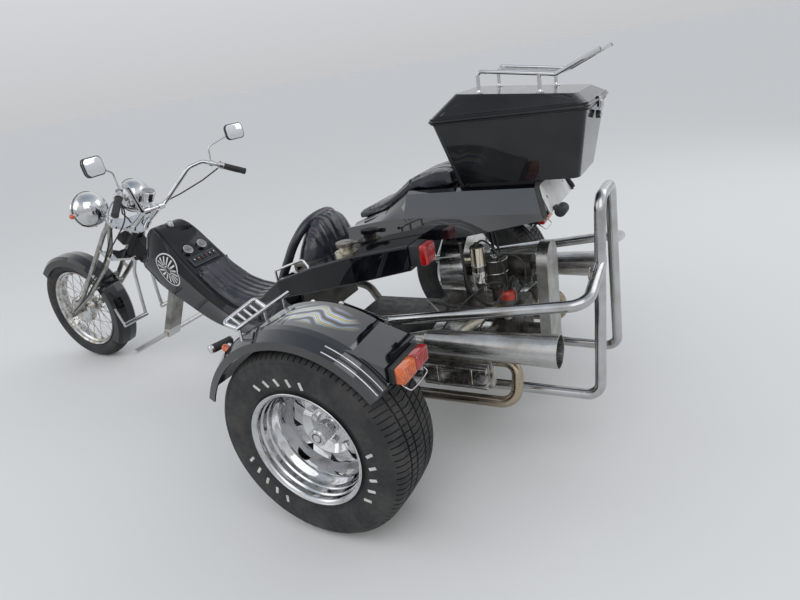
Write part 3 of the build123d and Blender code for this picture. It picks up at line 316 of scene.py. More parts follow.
filler_metal = finish("filler metal", ((0.56, 0.52, 0.42), (0.36, 0.32, 0.24)), (0.22, 0.42),
    patch=(40, 0.42, 0.66), metal=0.9)
print("finishes:", len(bpy.data.materials))

# %% [markdown]
# ## Finishes with a second material in them
#
# Some nodes show more than one finish along their length. The exhaust is brushed at the megaphone, brown
# at its inlet, tan where the bend gets hottest, and dark along the bottom. A mask built from Object
# coordinates picks the tone, because an object's coordinates here are the places on the vehicle.


# %% A further colour where a mask is 1
def tint(mat, mask, colour):
    tree = mat.node_tree
    base = tree.nodes["Principled BSDF"].inputs["Base Color"]
    over = add_node(tree, "Mix", {"data_type": "RGBA"}, Factor=mask, A=base.links[0].from_socket,
        B=(*colour, 1))
    feed(tree, base, over.outputs["Result"])


# %% Heat tint and a darker bottom on the exhaust; the frame's black neck and bright foot bar; painted warm reflection on the coil; yellowed filler
# Columns: finish, colour, then coordinates, each with the place where the colour begins and where it is full
TINTS = [
    (exhaust_steel, (0.27, 0.235, 0.19), ("Z", 0.44, 0.4), ("X", -1.0, -1.18)),
    (exhaust_steel, (0.4, 0.335, 0.25), ("Z", 0.44, 0.4), ("X", -1.32, -1.42)),
    # darker towards the bottom of the bend
    (exhaust_steel, (0.2, 0.16, 0.12), ("Z", 0.47, 0.44), ("X", -1.12, -1.06)),
    (frame_steel, (0.03, 0.03, 0.032), ("X", 0.5, 0.52), ("Z", 0.46, 0.5)),
    (frame_steel, (0.6, 0.6, 0.59), ("X", 0.5, 0.52), ("Z", 0.242, 0.236)),
    # painted warm reflection: a beige tone over the upper part of the coil's chrome
    (coil_can, (0.62, 0.56, 0.44), ("Z", 0.7, 0.712)),
    (coil_can, (0.2, 0.19, 0.17), ("Z", 0.679, 0.68), ("Z", 0.701, 0.7)),
    (filler_metal, (0.2, 0.18, 0.16), ("Z", 0.8225, 0.8235)),
]
for mat, colour, *spans in TINTS:
    mask = 1.0
    for letter, begins, full in spans:
        at = coordinates(mat.node_tree)["XYZ".index(letter)]
        grows = add_node(mat.node_tree, "MapRange", Value=at, From_Min=begins, From_Max=full)
        mask = Signal(mat.node_tree, grows.outputs["Result"]) * mask
    tint(mat, mask, colour)

# %% [markdown]
# ## Painted ornaments
#
# An oval rosette sits on each side of the tank, and coloured waves run over each fender. Both are drawn by
# arithmetic on Object coordinates: a distance and an angle for the rosette, bent bands for the waves.


# %% A band
def band(value, low, high, soft):
    """1 where value lies between low and high, with soft edges."""
    rise, fall = (value - low) * (1 / soft), (value - high) * (-1 / soft)
    return rise.math("MINIMUM", fall).math("MAXIMUM", 0.0).math("MINIMUM", 1.0)


# %% Rosette: two rings and sixteen rays about a plain middle, only on the tank's sides
tank_paint = finish("tank paint", **dict(GLOSS_BLACK, coat=0.5))
x, y, z = coordinates(tank_paint.node_tree)
across, up = (x - 0.4005) / 0.082, (z - 0.635) / 0.092
far = (across * across + up * up).math("SQRT")
rays = (up.math("ARCTAN2", across) * 16.0).math("COSINE") + far * -0.9
rays = band(rays, -0.35, 3.0, 0.25) * band(far, 0.34, 0.84, 0.03)
rings = band(far, 0.91, 1.0, 0.02).math("MAXIMUM", band(far, 0.22, 0.29, 0.02))
drawn = rays.math("MAXIMUM", rings) * band(y.math("ABSOLUTE"), 0.045, 1.0, 0.005)
tint(tank_paint, drawn, (0.66, 0.66, 0.64))

# %% Waves on the fenders: bands of a bent height, faded by an oval about each fender's top
fender_paint = finish("fender paint", **GLOSS_BLACK)
x, y, z = coordinates(fender_paint.node_tree)
side = y.math("ABSOLUTE")
across, up = (x + 0.945) / 0.165, (side - 0.728) / 0.07
sway = (x * 38.0).math("SINE") * 0.02
height = (side + sway) * 118.0 + (x * 90.0).math("SINE") * 0.6
crest, fade = height.math("SINE"), band(across * across + up * up, -1.0, 1.0, 0.7)
for low, high, colour in ((-0.55, 0.25, (0.24, 0.36, 0.56)), (0.15, 0.86, (0.6, 0.66, 0.72)),
        (0.84, 1.2, (0.74, 0.6, 0.16)), (-0.75, -0.5, (0.55, 0.24, 0.06))):
    tint(fender_paint, band(crest, low, high, 0.16) * fade, colour)

# %% The deck and the fenders look up into the sky: a harder clear coat mirrors more of it
deck_paint = finish("deck paint", **GLOSS_BLACK)
for mat, hardness in ((deck_paint, 2.2), (fender_paint, 1.9)):
    mat.node_tree.nodes["Principled BSDF"].inputs["Coat IOR"].default_value = hardness

# %% Give each CAD node its finish
FINISHES = [(black_paint, "front_fender"), (deck_paint, "rear_deck"), (tank_paint, "body_tub"),
    (fender_paint, "rear_fenders"), (case_plastic, "top_case_tub top_case_lid"),
    (chrome, "rear_rim_left rear_rim_right handlebar bar_controls headlamps chrome_rails"),
    (chrome, "lid_rack mirrors fork_yokes"), (stainless, "rear_hoop side_tubes foot_controls"),
    (aged_chrome, "front_rim valve_covers"), (frame_steel, "main_frame"), (filler_metal, "filler_cap"),
    (dull_steel, "fork_legs belt_guard"), (exhaust_steel, "exhausts"), (coil_can, "ignition_coil"),
    (cast_metal, "crankcase carburettor"), (cylinder_metal, "cylinders"), (black_tin, "rear_axle"),
    (polished, "fan_shroud"), (vinyl, "rider_seat rider_backrest passenger_seat"),
    (tyre_rubber, "front_tyre rear_tyre_left rear_tyre_right"), (rubber, "grips control_cables"),
    (dash_plastic, "dash"), (matt_black, "horn distributor lamps front_indicators"),
    (plate_paint, "number_plate")]
for mat, names in FINISHES:
    for name in names.split():
        node[name].data.materials.clear()
        node[name].data.materials.append(mat)
print("nodes with a finish:", sum(len(names.split()) for _, names in FINISHES))

# %% [markdown]
# ## Tools for modelling
#
# The pieces are made as by hand: a primitive is added, its faces are extruded, resized, inset or
# bevelled, and the result is set in place. The tools below bundle the moves that come back for many
# pieces. Each starts with nothing selected, because the CAD nodes are still selected after loading, and
# an operator would take them along. `primitive` and `settled` write a piece's place into its mesh, since
# every piece has to sit at the origin.


# %% Selecting and finishing
def only(piece):
    """Make one object the selected and active one, in object mode."""
    if bpy.context.object and bpy.context.object.mode != "OBJECT":
        bpy.ops.object.mode_set(mode="OBJECT")
    bpy.ops.object.select_all(action="DESELECT")
    if piece:
        piece.select_set(True)
        bpy.context.view_layer.objects.active = piece
    return piece


def frame_along(start, way, roll_to=UP):
    """A matrix at start whose Z points along way."""
    z = Vector(way).normalized()
    x = Vector(roll_to).cross(z)
    x = Vector(AHEAD).cross(z) if x.length < 0.0001 else x
    x.normalize()
    return axes(Vector(start), x, z.cross(x), z)


def edit_all():
    """Edit mode with every point selected."""
    bpy.ops.object.mode_set(mode="EDIT")
    bpy.ops.mesh.select_mode(type="VERT")
    bpy.ops.mesh.select_all(action="SELECT")


def settled(piece, smooth=38):
    """Place baked into the mesh, doubles merged, faces outward, and smooth below an angle."""
    only(piece)
    if piece.type != "MESH":
        bpy.ops.object.convert(target="MESH")
    bpy.ops.object.transform_apply(location=True, rotation=True, scale=True)
    edit_all()
    bpy.ops.mesh.remove_doubles(threshold=2e-5)
    bpy.ops.mesh.normals_make_consistent(inside=False)
    bpy.ops.object.mode_set(mode="OBJECT")
    bpy.ops.object.shade_smooth_by_angle(angle=radians(smooth))
    return piece


def joined(name, pieces):
    """Several objects as one, which takes the name."""
    only(pieces[0])
    for piece in pieces:
        piece.select_set(True)
    if len(pieces) > 1:
        bpy.ops.object.join()
    whole = bpy.context.view_layer.objects.active
    whole.name = name
    return whole


def painted(piece, mat):
    piece.data.materials.clear()
    piece.data.materials.append(mat)
    return piece


def finished(name, pieces, body, stands_for=()):
    """The last step of every piece: joined, named, riding on its body."""
    whole = joined(name, pieces if isinstance(pieces, list) else [pieces])
    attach(whole, body)
    if stands_for:
        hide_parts(*stands_for)
    print(f"{name}: {len(whole.data.vertices)} vertices, rides on {body}")
    return whole


def modified(kind, **settings):
    """Add a modifier to the active piece and apply it."""
    bpy.ops.object.modifier_add(type=kind)
    modifier = bpy.context.active_object.modifiers[-1]
    for key, value in settings.items():
        setattr(modifier, key, value)
    bpy.ops.object.modifier_apply(modifier=modifier.name)


# %% Copies
def copied(piece, matrix):
    """A copy with a mesh of its own, moved by a matrix."""
    twin = piece.copy()
    twin.data = piece.data.copy()
    scene.collection.objects.link(twin)
    twin.data.transform(matrix)
    if matrix.determinant() < 0:
        twin.data.flip_normals()
    return twin


MIRROR = Matrix.Scale(-1, 4, (0, 1, 0))


def both_sides(parts):
    """The parts of the left side and their mirror images on the right."""
    return parts + [copied(part, MIRROR) for part in parts]


def laid(parts, matrix):
    for part in parts:
        part.data.transform(matrix)
    return parts


def about_z(place, angle):
    """A turn about an upright line through a place, for what was made at the origin."""
    return Matrix.Translation(place) @ Matrix.Rotation(angle, 4, "Z")


# %% A primitive, and an outline that is extruded from step to step
def primitive(kind, matrix=None, **options):
    """A mesh primitive, with its place and size written into the mesh."""
    only(None)
    getattr(bpy.ops.mesh, f"primitive_{kind}_add")(**options)
    piece = bpy.context.active_object
    if matrix:
        piece.matrix_world = matrix
    bpy.ops.object.transform_apply(location=True, rotation=True, scale=True)
    return piece


def grown(piece, steps):
    """Extrude an outline. steps: (middle, size along X, Y and Z), starting with the outline's own."""
    edit_all()
    for (middle, size), (to, new_size) in zip(steps, steps[1:]):
        shift = [b - a for a, b in zip(middle, to)]
        bpy.ops.mesh.extrude_region_move(TRANSFORM_OT_translate={"value": shift})
        bpy.ops.transform.resize(value=[b / a for a, b in zip(size, new_size)], center_override=to)
    bpy.ops.object.mode_set(mode="OBJECT")
    return piece


def barrel(rows, sides, fill="NOTHING"):
    """A round outline grown along Z. rows: (height, radius)."""
    piece = primitive("circle", vertices=sides, radius=rows[0][1], fill_type=fill,
        location=(0, 0, rows[0][0]))
    return grown(piece, [((0, 0, z), (r, r, 1)) for z, r in rows])


def turned(start, way, rows, mat, sides=40, smooth=38):
    """A turned piece. rows: (distance along the axis, radius)."""
    piece = barrel(rows, sides, "NGON")
    piece.matrix_world = frame_along(start, way)
    return painted(settled(piece, smooth), mat)


# %% Blocks with rounded edges, wires, rings and shapes that change along a line
def slab(low, high, mat, edge=0.002, segments=3, turn=None):
    """A box between two corners, its edges rounded by a bevel; turn is a matrix applied after."""
    low, high = Vector(low), Vector(high)
    piece = primitive("cube", size=1, location=(low + high) / 2, scale=high - low)
    modified("BEVEL", width=edge, segments=segments)
    if turn:
        piece.data.transform(turn)
    return painted(settled(piece), mat)


def tube(points, radius, mat, order=3, resolution=6, cyclic=False):
    """A smooth curve with a round bevel, made a mesh."""
    line = bpy.data.curves.new("line", "CURVE")
    line.dimensions, line.bevel_depth, line.bevel_resolution, line.use_fill_caps = "3D", radius, 3, True
    line.resolution_u = resolution
    spline = line.splines.new("NURBS")
    spline.points.add(len(points) - 1)
    for point, place in zip(spline.points, points):
        point.co = (*place, 1)
    spline.order_u, spline.use_endpoint_u, spline.use_cyclic_u = order, not cyclic, cyclic
    piece = bpy.data.objects.new("line", line)
    scene.collection.objects.link(piece)
    return painted(settled(piece, 60), mat)


def lead(points, radius, mat):
    """A soft line through its points: a cable, hose or wire."""
    return tube(points, radius, mat, order=4, resolution=10)


def ring(centre, way, r, thick, mat, sides=40, around=10):
    """A plain ring such as a bead, bezel or washer."""
    piece = primitive("torus", frame_along(centre, way), major_radius=r, minor_radius=thick,
        major_segments=sides, minor_segments=around)
    return painted(settled(piece, 60), mat)


def stretched(stations, mat):
    """An upright face that grows backwards. stations: (x, middle z, half width, half height)."""
    x, z, half_y, half_z = stations[0]
    outline = Matrix(((0, 0, -1, x), (half_y, 0, 0, 0), (0, -half_z, 0, z), (0, 0, 0, 1)))
    piece = grown(primitive("plane", outline, size=2), [((x, 0, z), (1, y, h)) for x, z, y, h in stations])
    return painted(settled(piece, 60), mat)


def stacked(stations, mat):
    """A round face that grows upwards. stations: (z, middle x, half length, half width)."""
    z, x, half_x, half_y = stations[0]
    outline = Matrix.Translation((x, 0, z)) @ Matrix.Diagonal((half_x, half_y, 1, 1))
    piece = grown(primitive("circle", outline, vertices=28, radius=1, fill_type="NGON"),
        [((x, 0, z), (half_x, half_y, 1)) for z, x, half_x, half_y in stations])
    return painted(settled(piece, 60), mat)


# %% [markdown]
# ## Tyres
#
# A tyre is a ring of rubber: two beads, bulging sides and a tread of ribs with cross cuts. An open circle
# at one bead is extruded ring by ring round the section, and its two ends are bridged inside the rim. The
# tread's grooves are faces pushed towards the axle: whole columns for the long grooves, and every fifth
# face for the cross cuts. Then the tread is twisted about the axle, more the further from its middle. The
# side carries a raised rim guard and groups of slanted white bars.

# %% Wheels: places and radii
REAR_WHEEL, FRONT_WHEEL = ax(0, 0.755, 0.346), ax(2.303, 0, 0.325)
LEFT_WHEEL = Matrix.Translation(REAR_WHEEL)
RIGHT_WHEEL = MIRROR @ LEFT_WHEEL
ABOUT_Y = Matrix.Rotation(-pi / 2, 4, "X")     # turns what was grown along Z, so that its axis is Y


# %% White bars on the tyre's side
white_rubber = finish("white rubber", ((0.62, 0.61, 0.58), (0.42, 0.41, 0.38)), (0.55, 0.75),
    patch=(30, 0.45, 0.7))


# %% One tyre about the Y axis, at the origin
def tyre_ring(side_rows, crown, columns, steps, depth, twist, every=5):
    """side_rows: (radius, across) from bead to shoulder. crown: radius at the middle and at the edge.
    columns: (from, to, kind) across the tread, kind being "rib" or "groove". every: faces from cut to cut.
    twist: how far the tread is turned per metre from its middle, which makes arrows of the cuts."""
    edge_y = side_rows[-1][1]
    across = [columns[0][0]] + [row[1] for row in columns]
    tread = [(crown[0] - (crown[0] - crown[1]) * (y / edge_y) ** 2, y) for y in across[1:-1]]
    rows = side_rows + tread + [(r, -y) for r, y in reversed(side_rows)]
    piece = barrel([(y, r) for r, y in rows], steps)
    bead_r, bead_y = rows[0]
    for vert in piece.data.vertices:
        off = max(abs(abs(vert.co.z) - bead_y), abs(vert.co.xy.length - bead_r))
        vert.select = off < 1e-5
    bpy.ops.object.mode_set(mode="EDIT")
    bpy.ops.mesh.select_mode(type="EDGE")
    bpy.ops.mesh.bridge_edge_loops()
    bpy.ops.mesh.select_all(action="SELECT")
    bpy.ops.mesh.normals_make_consistent(inside=False)
    bpy.ops.mesh.select_all(action="DESELECT")
    bpy.ops.mesh.select_mode(type="FACE")
    bpy.ops.object.mode_set(mode="OBJECT")
    edges = [row[1] for row in side_rows[-3:]]
    shoulder = [(a, b, "rib") for a, b in zip(edges, edges[1:])]
    shoulder += [(-b, -a, kind) for a, b, kind in shoulder]
    for face in piece.data.polygons:
        middle = face.center
        for y_from, y_to, kind in columns + shoulder:
            if min(y_from, y_to) < middle.z < max(y_from, y_to) and middle.xy.length > crown[1] * 0.9:
                step = int((middle.xy.angle_signed(Vector((1, 0))) + pi) / (2 * pi) * steps)
                face.select = kind == "groove" or step % every == 0
    bpy.ops.object.mode_set(mode="EDIT")
    bpy.ops.mesh.extrude_region_shrink_fatten(TRANSFORM_OT_shrink_fatten={"value": -depth})
    bpy.ops.object.mode_set(mode="OBJECT")
    for vert in piece.data.vertices:
        vert.co = Matrix.Rotation(twist * abs(vert.co.z), 3, "Z") @ vert.co
    piece.data.transform(ABOUT_Y)
    return painted(settled(piece, 32), tyre_rubber)


# %% Section of the wide rear tyre and of the narrow front tyre
REAR_SIDE = [(0.1995, 0.118), (0.211, 0.1185), (0.2165, 0.1225), (0.224, 0.1235), (0.228, 0.1268),
    (0.234, 0.1304), (0.246, 0.132), (0.266, 0.1326), (0.286, 0.1322), (0.303, 0.13), (0.312, 0.1275),
    (0.3145, 0.1285), (0.324, 0.1238), (0.335, 0.1105), (0.3408, 0.096)]
REAR_COLUMNS = [(0.096, 0.082, "rib"), (0.082, 0.068, "rib"), (0.068, 0.06, "groove"), (0.06, 0.046, "rib"),
    (0.046, 0.032, "rib"), (0.032, 0.024, "groove"), (0.024, 0.012, "rib"), (0.012, 0.0, "rib")]
REAR_COLUMNS += [(-b, -a, kind) for a, b, kind in reversed(REAR_COLUMNS)]
FRONT_SIDE = [(0.235, 0.03), (0.246, 0.0305), (0.25, 0.036), (0.262, 0.045), (0.28, 0.0525),
    (0.292, 0.0528), (0.304, 0.0495), (0.311, 0.044), (0.316, 0.037)]
FRONT_COLUMNS = [(0.037, 0.028, "rib"), (0.028, 0.024, "groove"), (0.024, 0.013, "rib"),
    (0.013, 0.009, "groove"), (0.009, 0.0, "rib")]
FRONT_COLUMNS += [(-b, -a, kind) for a, b, kind in reversed(FRONT_COLUMNS)]


# %% Slanted bars on each outer side, in groups of five: radii, place across, first angle of each group
def side_bars(r_low, r_high, across, groups, pitch=10.5, slant=24):
    middle = Matrix.Translation(((r_low + r_high) / 2, 0, 0))
    slanted = middle @ Matrix.Rotation(radians(slant), 4, "Y") @ middle.inverted()
    return [slab((r_low, across - 0.0012, -0.005), (r_high, across + 0.001, 0.005), white_rubber, 0.0006, 2,
        turn=Matrix.Rotation(radians(first + i * pitch), 4, "Y") @ slanted) for first in groups
        for i in range(5)]


# %% Rear tyres
rear_tyre = tyre_ring(REAR_SIDE, (0.346, 0.3408), REAR_COLUMNS, steps=480, depth=0.006, twist=0.55)
rear_tyre = joined("rear_tyre", [rear_tyre, *side_bars(0.2355, 0.2625, across=0.1324,
    groups=(18, 146, 258))])
right_tyre = copied(rear_tyre, RIGHT_WHEEL)
laid([rear_tyre], LEFT_WHEEL)
finished("tyre_rear_left", rear_tyre, "rear_left_wheel", ["rear_tyre_left"])
finished("tyre_rear_right", right_tyre, "rear_right_wheel", ["rear_tyre_right"])

# %% Front tyre
front_tyre = tyre_ring(FRONT_SIDE, (0.325, 0.316), FRONT_COLUMNS, steps=360, depth=0.004, twist=1.2)
laid([front_tyre], Matrix.Translation(FRONT_WHEEL))
finished("tyre_front", front_tyre, "front_wheel", ["front_tyre"])

# %% [markdown]
# ## Rim dishes
#
# The chrome of the rear wheels is the largest mirror in the picture, and a mirror shows every flat spot.
# So the visible side of each rim gets a fine skin with a rolled lip, rounded steps, a weld bead round the
# disc and a tyre valve. The front rim gets a rolled lip on both edges and a nipple on every spoke.


# %% A ring about the Y axis, from a closed section of radius and place across
def ring_of(section, mat, sides=180):
    piece = barrel([(y, r) for r, y in section + section[:1]], sides)
    piece.data.transform(ABOUT_Y)
    return painted(settled(piece, 50), mat)


def rolled(r, y, thick, around=10):
    """Section of a rolled lip."""
    return [(r + thick * cos(2 * pi * i / around), y + thick * sin(2 * pi * i / around))
        for i in range(around)]


# %% Skin of the rear rims, seen from outside
DISH = [(0.2034, 0.1296), (0.199, 0.1268), (0.1952, 0.124), (0.193, 0.1208), (0.1922, 0.117),
    (0.1922, 0.104), (0.191, 0.1012), (0.1888, 0.0992), (0.1872, 0.0968), (0.1868, 0.094), (0.1868, 0.08),
    (0.1862, 0.077), (0.184, 0.0748), (0.1826, 0.0722), (0.1822, 0.069), (0.1822, 0.064), (0.181, 0.06),
    (0.178, 0.054), (0.172, 0.045), (0.169, 0.0402), (0.167, 0.036), (0.166, 0.031), (0.1658, -0.024)]
skin = ring_of(DISH + [(r + 0.0004, y - 0.0002) for r, y in reversed(DISH)], chrome)
lip = ring_of(rolled(0.2052, 0.1278, 0.003), chrome)
seam = ring_of(rolled(0.1652, -0.0255, 0.0022, 8), chrome)
valve = [
    turned((0.1875, 0, 0.0), BACK_WAY, [(0, 0.0065), (0.006, 0.006), (0.02, 0.0042), (0.028, 0.004)],
        rubber, 20),
    turned((0.161, 0, 0.0), BACK_WAY, [(0, 0.0046), (0.009, 0.0046), (0.01, 0.003)], dull_steel, 16),
]
laid(valve, Matrix.Rotation(radians(-62), 4, "Y") @ Matrix.Translation((0, 0.086, 0)))
cap = [
    ring_of(rolled(0.0285, 0.056, 0.003, 8), chrome, 64),
    ring_of(rolled(0.0312, 0.02, 0.0012, 8), chrome, 64),
    ring_of(rolled(0.0195, 0.0606, 0.0014, 8), chrome, 64),
    turned((0, 0.0598, 0), (0, 1, 0), [(0, 0.0205), (0.0006, 0.0205), (0.0007, 0.014)], black_tin, 48),
    turned((0, 0.06, 0), (0, 1, 0), [(0, 0.014), (0.0016, 0.0138), (0.0032, 0.01), (0.0042, 0.002)],
        chrome),
]
dish = joined("rim_dish", [skin, lip, seam, *cap, *valve])
right_dish = copied(dish, RIGHT_WHEEL)
laid([dish], LEFT_WHEEL)
finished("rim_dish_left", dish, "rear_left_wheel")
finished("rim_dish_right", right_dish, "rear_right_wheel")

# %% Front rim: lips and spoke nipples
front_parts = [ring_of(rolled(0.2405, side * 0.0352, 0.0026), chrome, 160) for side in (-1, 1)]
for side in (-1, 1):
    for i in range(20):
        angle = radians(18 * (i + (0.5 if side > 0 else 0)))
        out = Vector((cos(angle), 0, -sin(angle)))
        front_parts.append(turned(out * 0.2215 + Vector((0, side * 0.0055, 0)), -out,
            [(0, 0.0042), (0.01, 0.0036), (0.011, 0.0028)], dull_steel, 10))
finished("front_rim_details", laid(front_parts, Matrix.Translation(FRONT_WHEEL)), "front_wheel")
print("rims done")

# %% [markdown]
# ## Saddle, backrest and passenger pad
#
# Upholstery is air and foam in a tight skin. Each pad starts a little smaller than its place: a face
# extruded from station to station. It is remeshed to even small squares, and Blender's cloth then blows
# it up for twenty frames with no gravity. The points underneath are pinned, so that it stays flat where
# it rests, and no point may move further than a cap. The sewn channels come last, pressed in along lines,
# because a remesh would wipe them out.


# %% Blow up a pad
def puffed(pad, cap, rests_below, voxel=0.006, pressure=4.0):
    """cap: how far a point may move; rests_below: the height below which points are pinned, for each x."""
    only(pad)
    pad.data.remesh_voxel_size = voxel
    bpy.ops.object.voxel_remesh()
    start = [v.co.copy() for v in pad.data.vertices]
    pinned = [v.index for v in pad.data.vertices if v.co.z < rests_below(v.co.x)]
    pins = pad.vertex_groups.new(name="pins")
    pins.add(pinned, 1, "REPLACE")
    bpy.ops.object.modifier_add(type="CLOTH")
    cloth = pad.modifiers["Cloth"]
    cloth.settings.quality = 4
    cloth.settings.use_pressure, cloth.settings.uniform_pressure_force = True, pressure
    cloth.settings.vertex_group_mass = "pins"
    cloth.settings.effector_weights.gravity = 0
    for number in range(1, 21):
        scene.frame_set(number)
    bpy.ops.object.modifier_apply(modifier="Cloth")
    scene.frame_set(1)
    for vert, old in zip(pad.data.vertices, start):
        moved = vert.co - old
        if moved.length > cap:
            vert.co = old + moved * (cap / moved.length)
    modified("SUBSURF", levels=1, render_levels=1)
    bpy.ops.object.shade_smooth()
    return pad


def pressed(pad, depth_at):
    """Press points down by a depth that depends on their place and normal."""
    normals = [v.normal.copy() for v in pad.data.vertices]
    for vert, normal in zip(pad.data.vertices, normals):
        vert.co -= normal * depth_at(vert.co, normal)
    pad.data.update()
    return pad


def dip(distance, width):
    """1 in the middle of a sewn line, falling off smoothly beside it."""
    t = min(abs(distance) / width, 1)
    return (1 - t * t) ** 2


# %% Saddle: follows the tub, with lengthwise pleats
# Columns: x from the rear axle, top of the tub, half width
SADDLE = [(1.144, 0.608, 0.106), (1.075, 0.548, 0.113), (1.0, 0.492, 0.119), (0.925, 0.462, 0.128),
    (0.85, 0.446, 0.136), (0.775, 0.454, 0.146), (0.7, 0.474, 0.158), (0.63, 0.513, 0.17),
    (0.56, 0.56, 0.184), (0.506, 0.597, 0.188)]


def between(x, table, column):
    """A column's value at a place along the vehicle, between the rows of a table."""
    x = min(max(x - REAR_AXLE_X, table[-1][0]), table[0][0])
    a, b = next((a, b) for a, b in zip(table, table[1:]) if a[0] >= x >= b[0])
    return a[column] + (b[column] - a[column]) * (a[0] - x) / (a[0] - b[0])


saddle = stretched([(x + REAR_AXLE_X, z + 0.013, half, 0.022) for x, z, half in SADDLE], vinyl)
puffed(saddle, 0.012, lambda x: between(x, SADDLE, 1) - 0.001)
PLEATS = [-0.6, -0.3, 0, 0.3, 0.6]


def pleat_depth(place, normal):
    if normal.z < 0.2:
        return 0
    half = between(place.x, SADDLE, 2)
    front_hem = dip(place.x - REAR_AXLE_X - 1.125, 0.006)
    return 0.006 * max([dip(place.y - share * half, 0.009) for share in PLEATS] + [front_hem])


pressed(saddle, pleat_depth)
finished("saddle_pad", saddle, "chassis", ["rider_seat"])

# %% Rider's backrest: a shell of vinyl with upright folds inside a padded ring
# Columns: height, front x, rear x, width
BACK = [(0.606, 0.552, 0.338, 0.372), (0.66, 0.53, 0.326, 0.368), (0.712, 0.504, 0.318, 0.352),
    (0.76, 0.484, 0.322, 0.326), (0.8, 0.462, 0.334, 0.29), (0.835, 0.444, 0.348, 0.24),
    (0.862, 0.43, 0.362, 0.18), (0.876, 0.42, 0.376, 0.12)]
backrest = stacked([(z, (f + r) / 2 + REAR_AXLE_X, (f - r) / 2, w / 2) for z, f, r, w in BACK], vinyl)
puffed(backrest, 0.01, lambda x: 0.612)


def fold_depth(place, normal):
    rear = 1 if normal.x < 0.1 else 0.5
    return 0.0045 * rear * max(dip(place.y - y, 0.016) for y in (-0.12, -0.075, -0.03, 0.03, 0.075, 0.12))


pressed(backrest, fold_depth)
finished("backrest_pad", backrest, "chassis", ["rider_backrest"])

# %% The padded ring round its front, sewn along its length
RING = [(0.556, 0.186, 0.602), (0.545, 0.186, 0.64), (0.498, 0.176, 0.712), (0.478, 0.165, 0.76),
    (0.45, 0.146, 0.806), (0.428, 0.105, 0.85), (0.418, 0.05, 0.868)]
ring_path = [ax(*p) for p in RING] + [ax(x, -y, z) for x, y, z in reversed(RING)]
backrest_ring = lead(ring_path, 0.0195, vinyl)
seam = [Vector((p.x - 0.004, p.y, p.z + 0.0175)) if abs(p.y) < 0.12 else Vector((p.x - 0.004,
    p.y + (0.0178 if p.y > 0 else -0.0178), p.z)) for p in ring_path]
finished("backrest_ring", [backrest_ring, tube(seam, 0.0022, matt_black, order=4, resolution=8)], "chassis")

# %% Passenger's pad in the scoop, and its low backrest before the case
PILLION = [(0.14, 0.881, 0.112, 0.01), (0.1, 0.8945, 0.116, 0.012), (0.05, 0.91, 0.117, 0.012),
    (0.0, 0.927, 0.117, 0.012), (-0.05, 0.96, 0.117, 0.012), (-0.092, 0.991, 0.117, 0.012),
    (-0.13, 1.003, 0.117, 0.016), (-0.17, 1.0075, 0.117, 0.022), (-0.208, 1.011, 0.115, 0.026),
    (-0.255, 1.011, 0.112, 0.026), (-0.272, 1.007, 0.106, 0.021)]
pillion = stretched([(x + REAR_AXLE_X, z + 0.0015, y, h) for x, z, y, h in PILLION], vinyl)


# Columns: x from the rear axle, crown of the deck below the pad
DECK = [(0.16, 0.86), (0.0, 0.912), (-0.1, 0.978), (-0.33, 0.981)]
puffed(pillion, 0.008, lambda x: between(x, DECK, 1) + 0.004)


def pillion_seams(place, normal):
    if normal.z < 0 and normal.x < 0.3:
        return 0
    return 0.005 * max([dip(place.y - y, 0.008) for y in (-0.06, 0, 0.06)]
        + [dip(place.x - REAR_AXLE_X + 0.098, 0.008)])


pressed(pillion, pillion_seams)
finished("passenger_pad", pillion, "chassis", ["passenger_seat"])

# %% [markdown]
# ## Dash and instruments
#
# The dash slopes up towards the rider: a panel with six rocker switches, two small gauges with silver
# bezels above it and the ignition lock on top. Everything is made flat round the origin and then laid on
# the slope by one matrix. Marks and needles are thin raised strips, so that they hold up at any distance.

# %% Finishes for small things
glass, tree, shader = plain_material("clear glass")
shader["Transmission Weight"].default_value, shader["IOR"].default_value = 0.9, 1.45
film = add_node(tree, "Group", {"node_tree": patches}, Scale=25).outputs["Mask"]
smear = add_node(tree, "MapRange", To_Min=0.02, To_Max=0.12, Value=film)
dust_tone = add_node(tree, "Mix", {"data_type": "RGBA"}, A=(0.95, 0.96, 0.97, 1), B=(0.8, 0.8, 0.78, 1),
    Factor=film)
feed(tree, shader["Roughness"], smear.outputs["Result"])
feed(tree, shader["Base Color"], dust_tone.outputs["Result"])
mirror_glass = finish("mirror glass", ((0.8, 0.82, 0.84), (0.62, 0.64, 0.66)), (0.02, 0.06),
    patch=(30, 0.6, 0.9), metal=1.0, bump=(20, 1, 0.005))
LENS = dict(rough=(0.08, 0.2), patch=(60, 0.4, 0.7), coat=1.0, bump=(240, 0.2, 0.25))
red_lens = finish("red lens", ((0.42, 0.004, 0.006), (0.22, 0.003, 0.004)), **LENS)
amber_lens = finish("amber lens", ((0.72, 0.13, 0.008), (0.42, 0.06, 0.004)), **LENS)
white_mark = finish("white mark", ((0.75, 0.75, 0.72), (0.6, 0.6, 0.58)), (0.4, 0.5))
red_mark = finish("red mark", ((0.5, 0.02, 0.015), (0.35, 0.015, 0.01)), (0.35, 0.5))
blue_mark = finish("blue mark", ((0.02, 0.09, 0.45), (0.015, 0.06, 0.3)), (0.35, 0.5))
orange_mark = finish("orange mark", ((0.75, 0.2, 0.02), (0.5, 0.14, 0.015)), (0.35, 0.5))


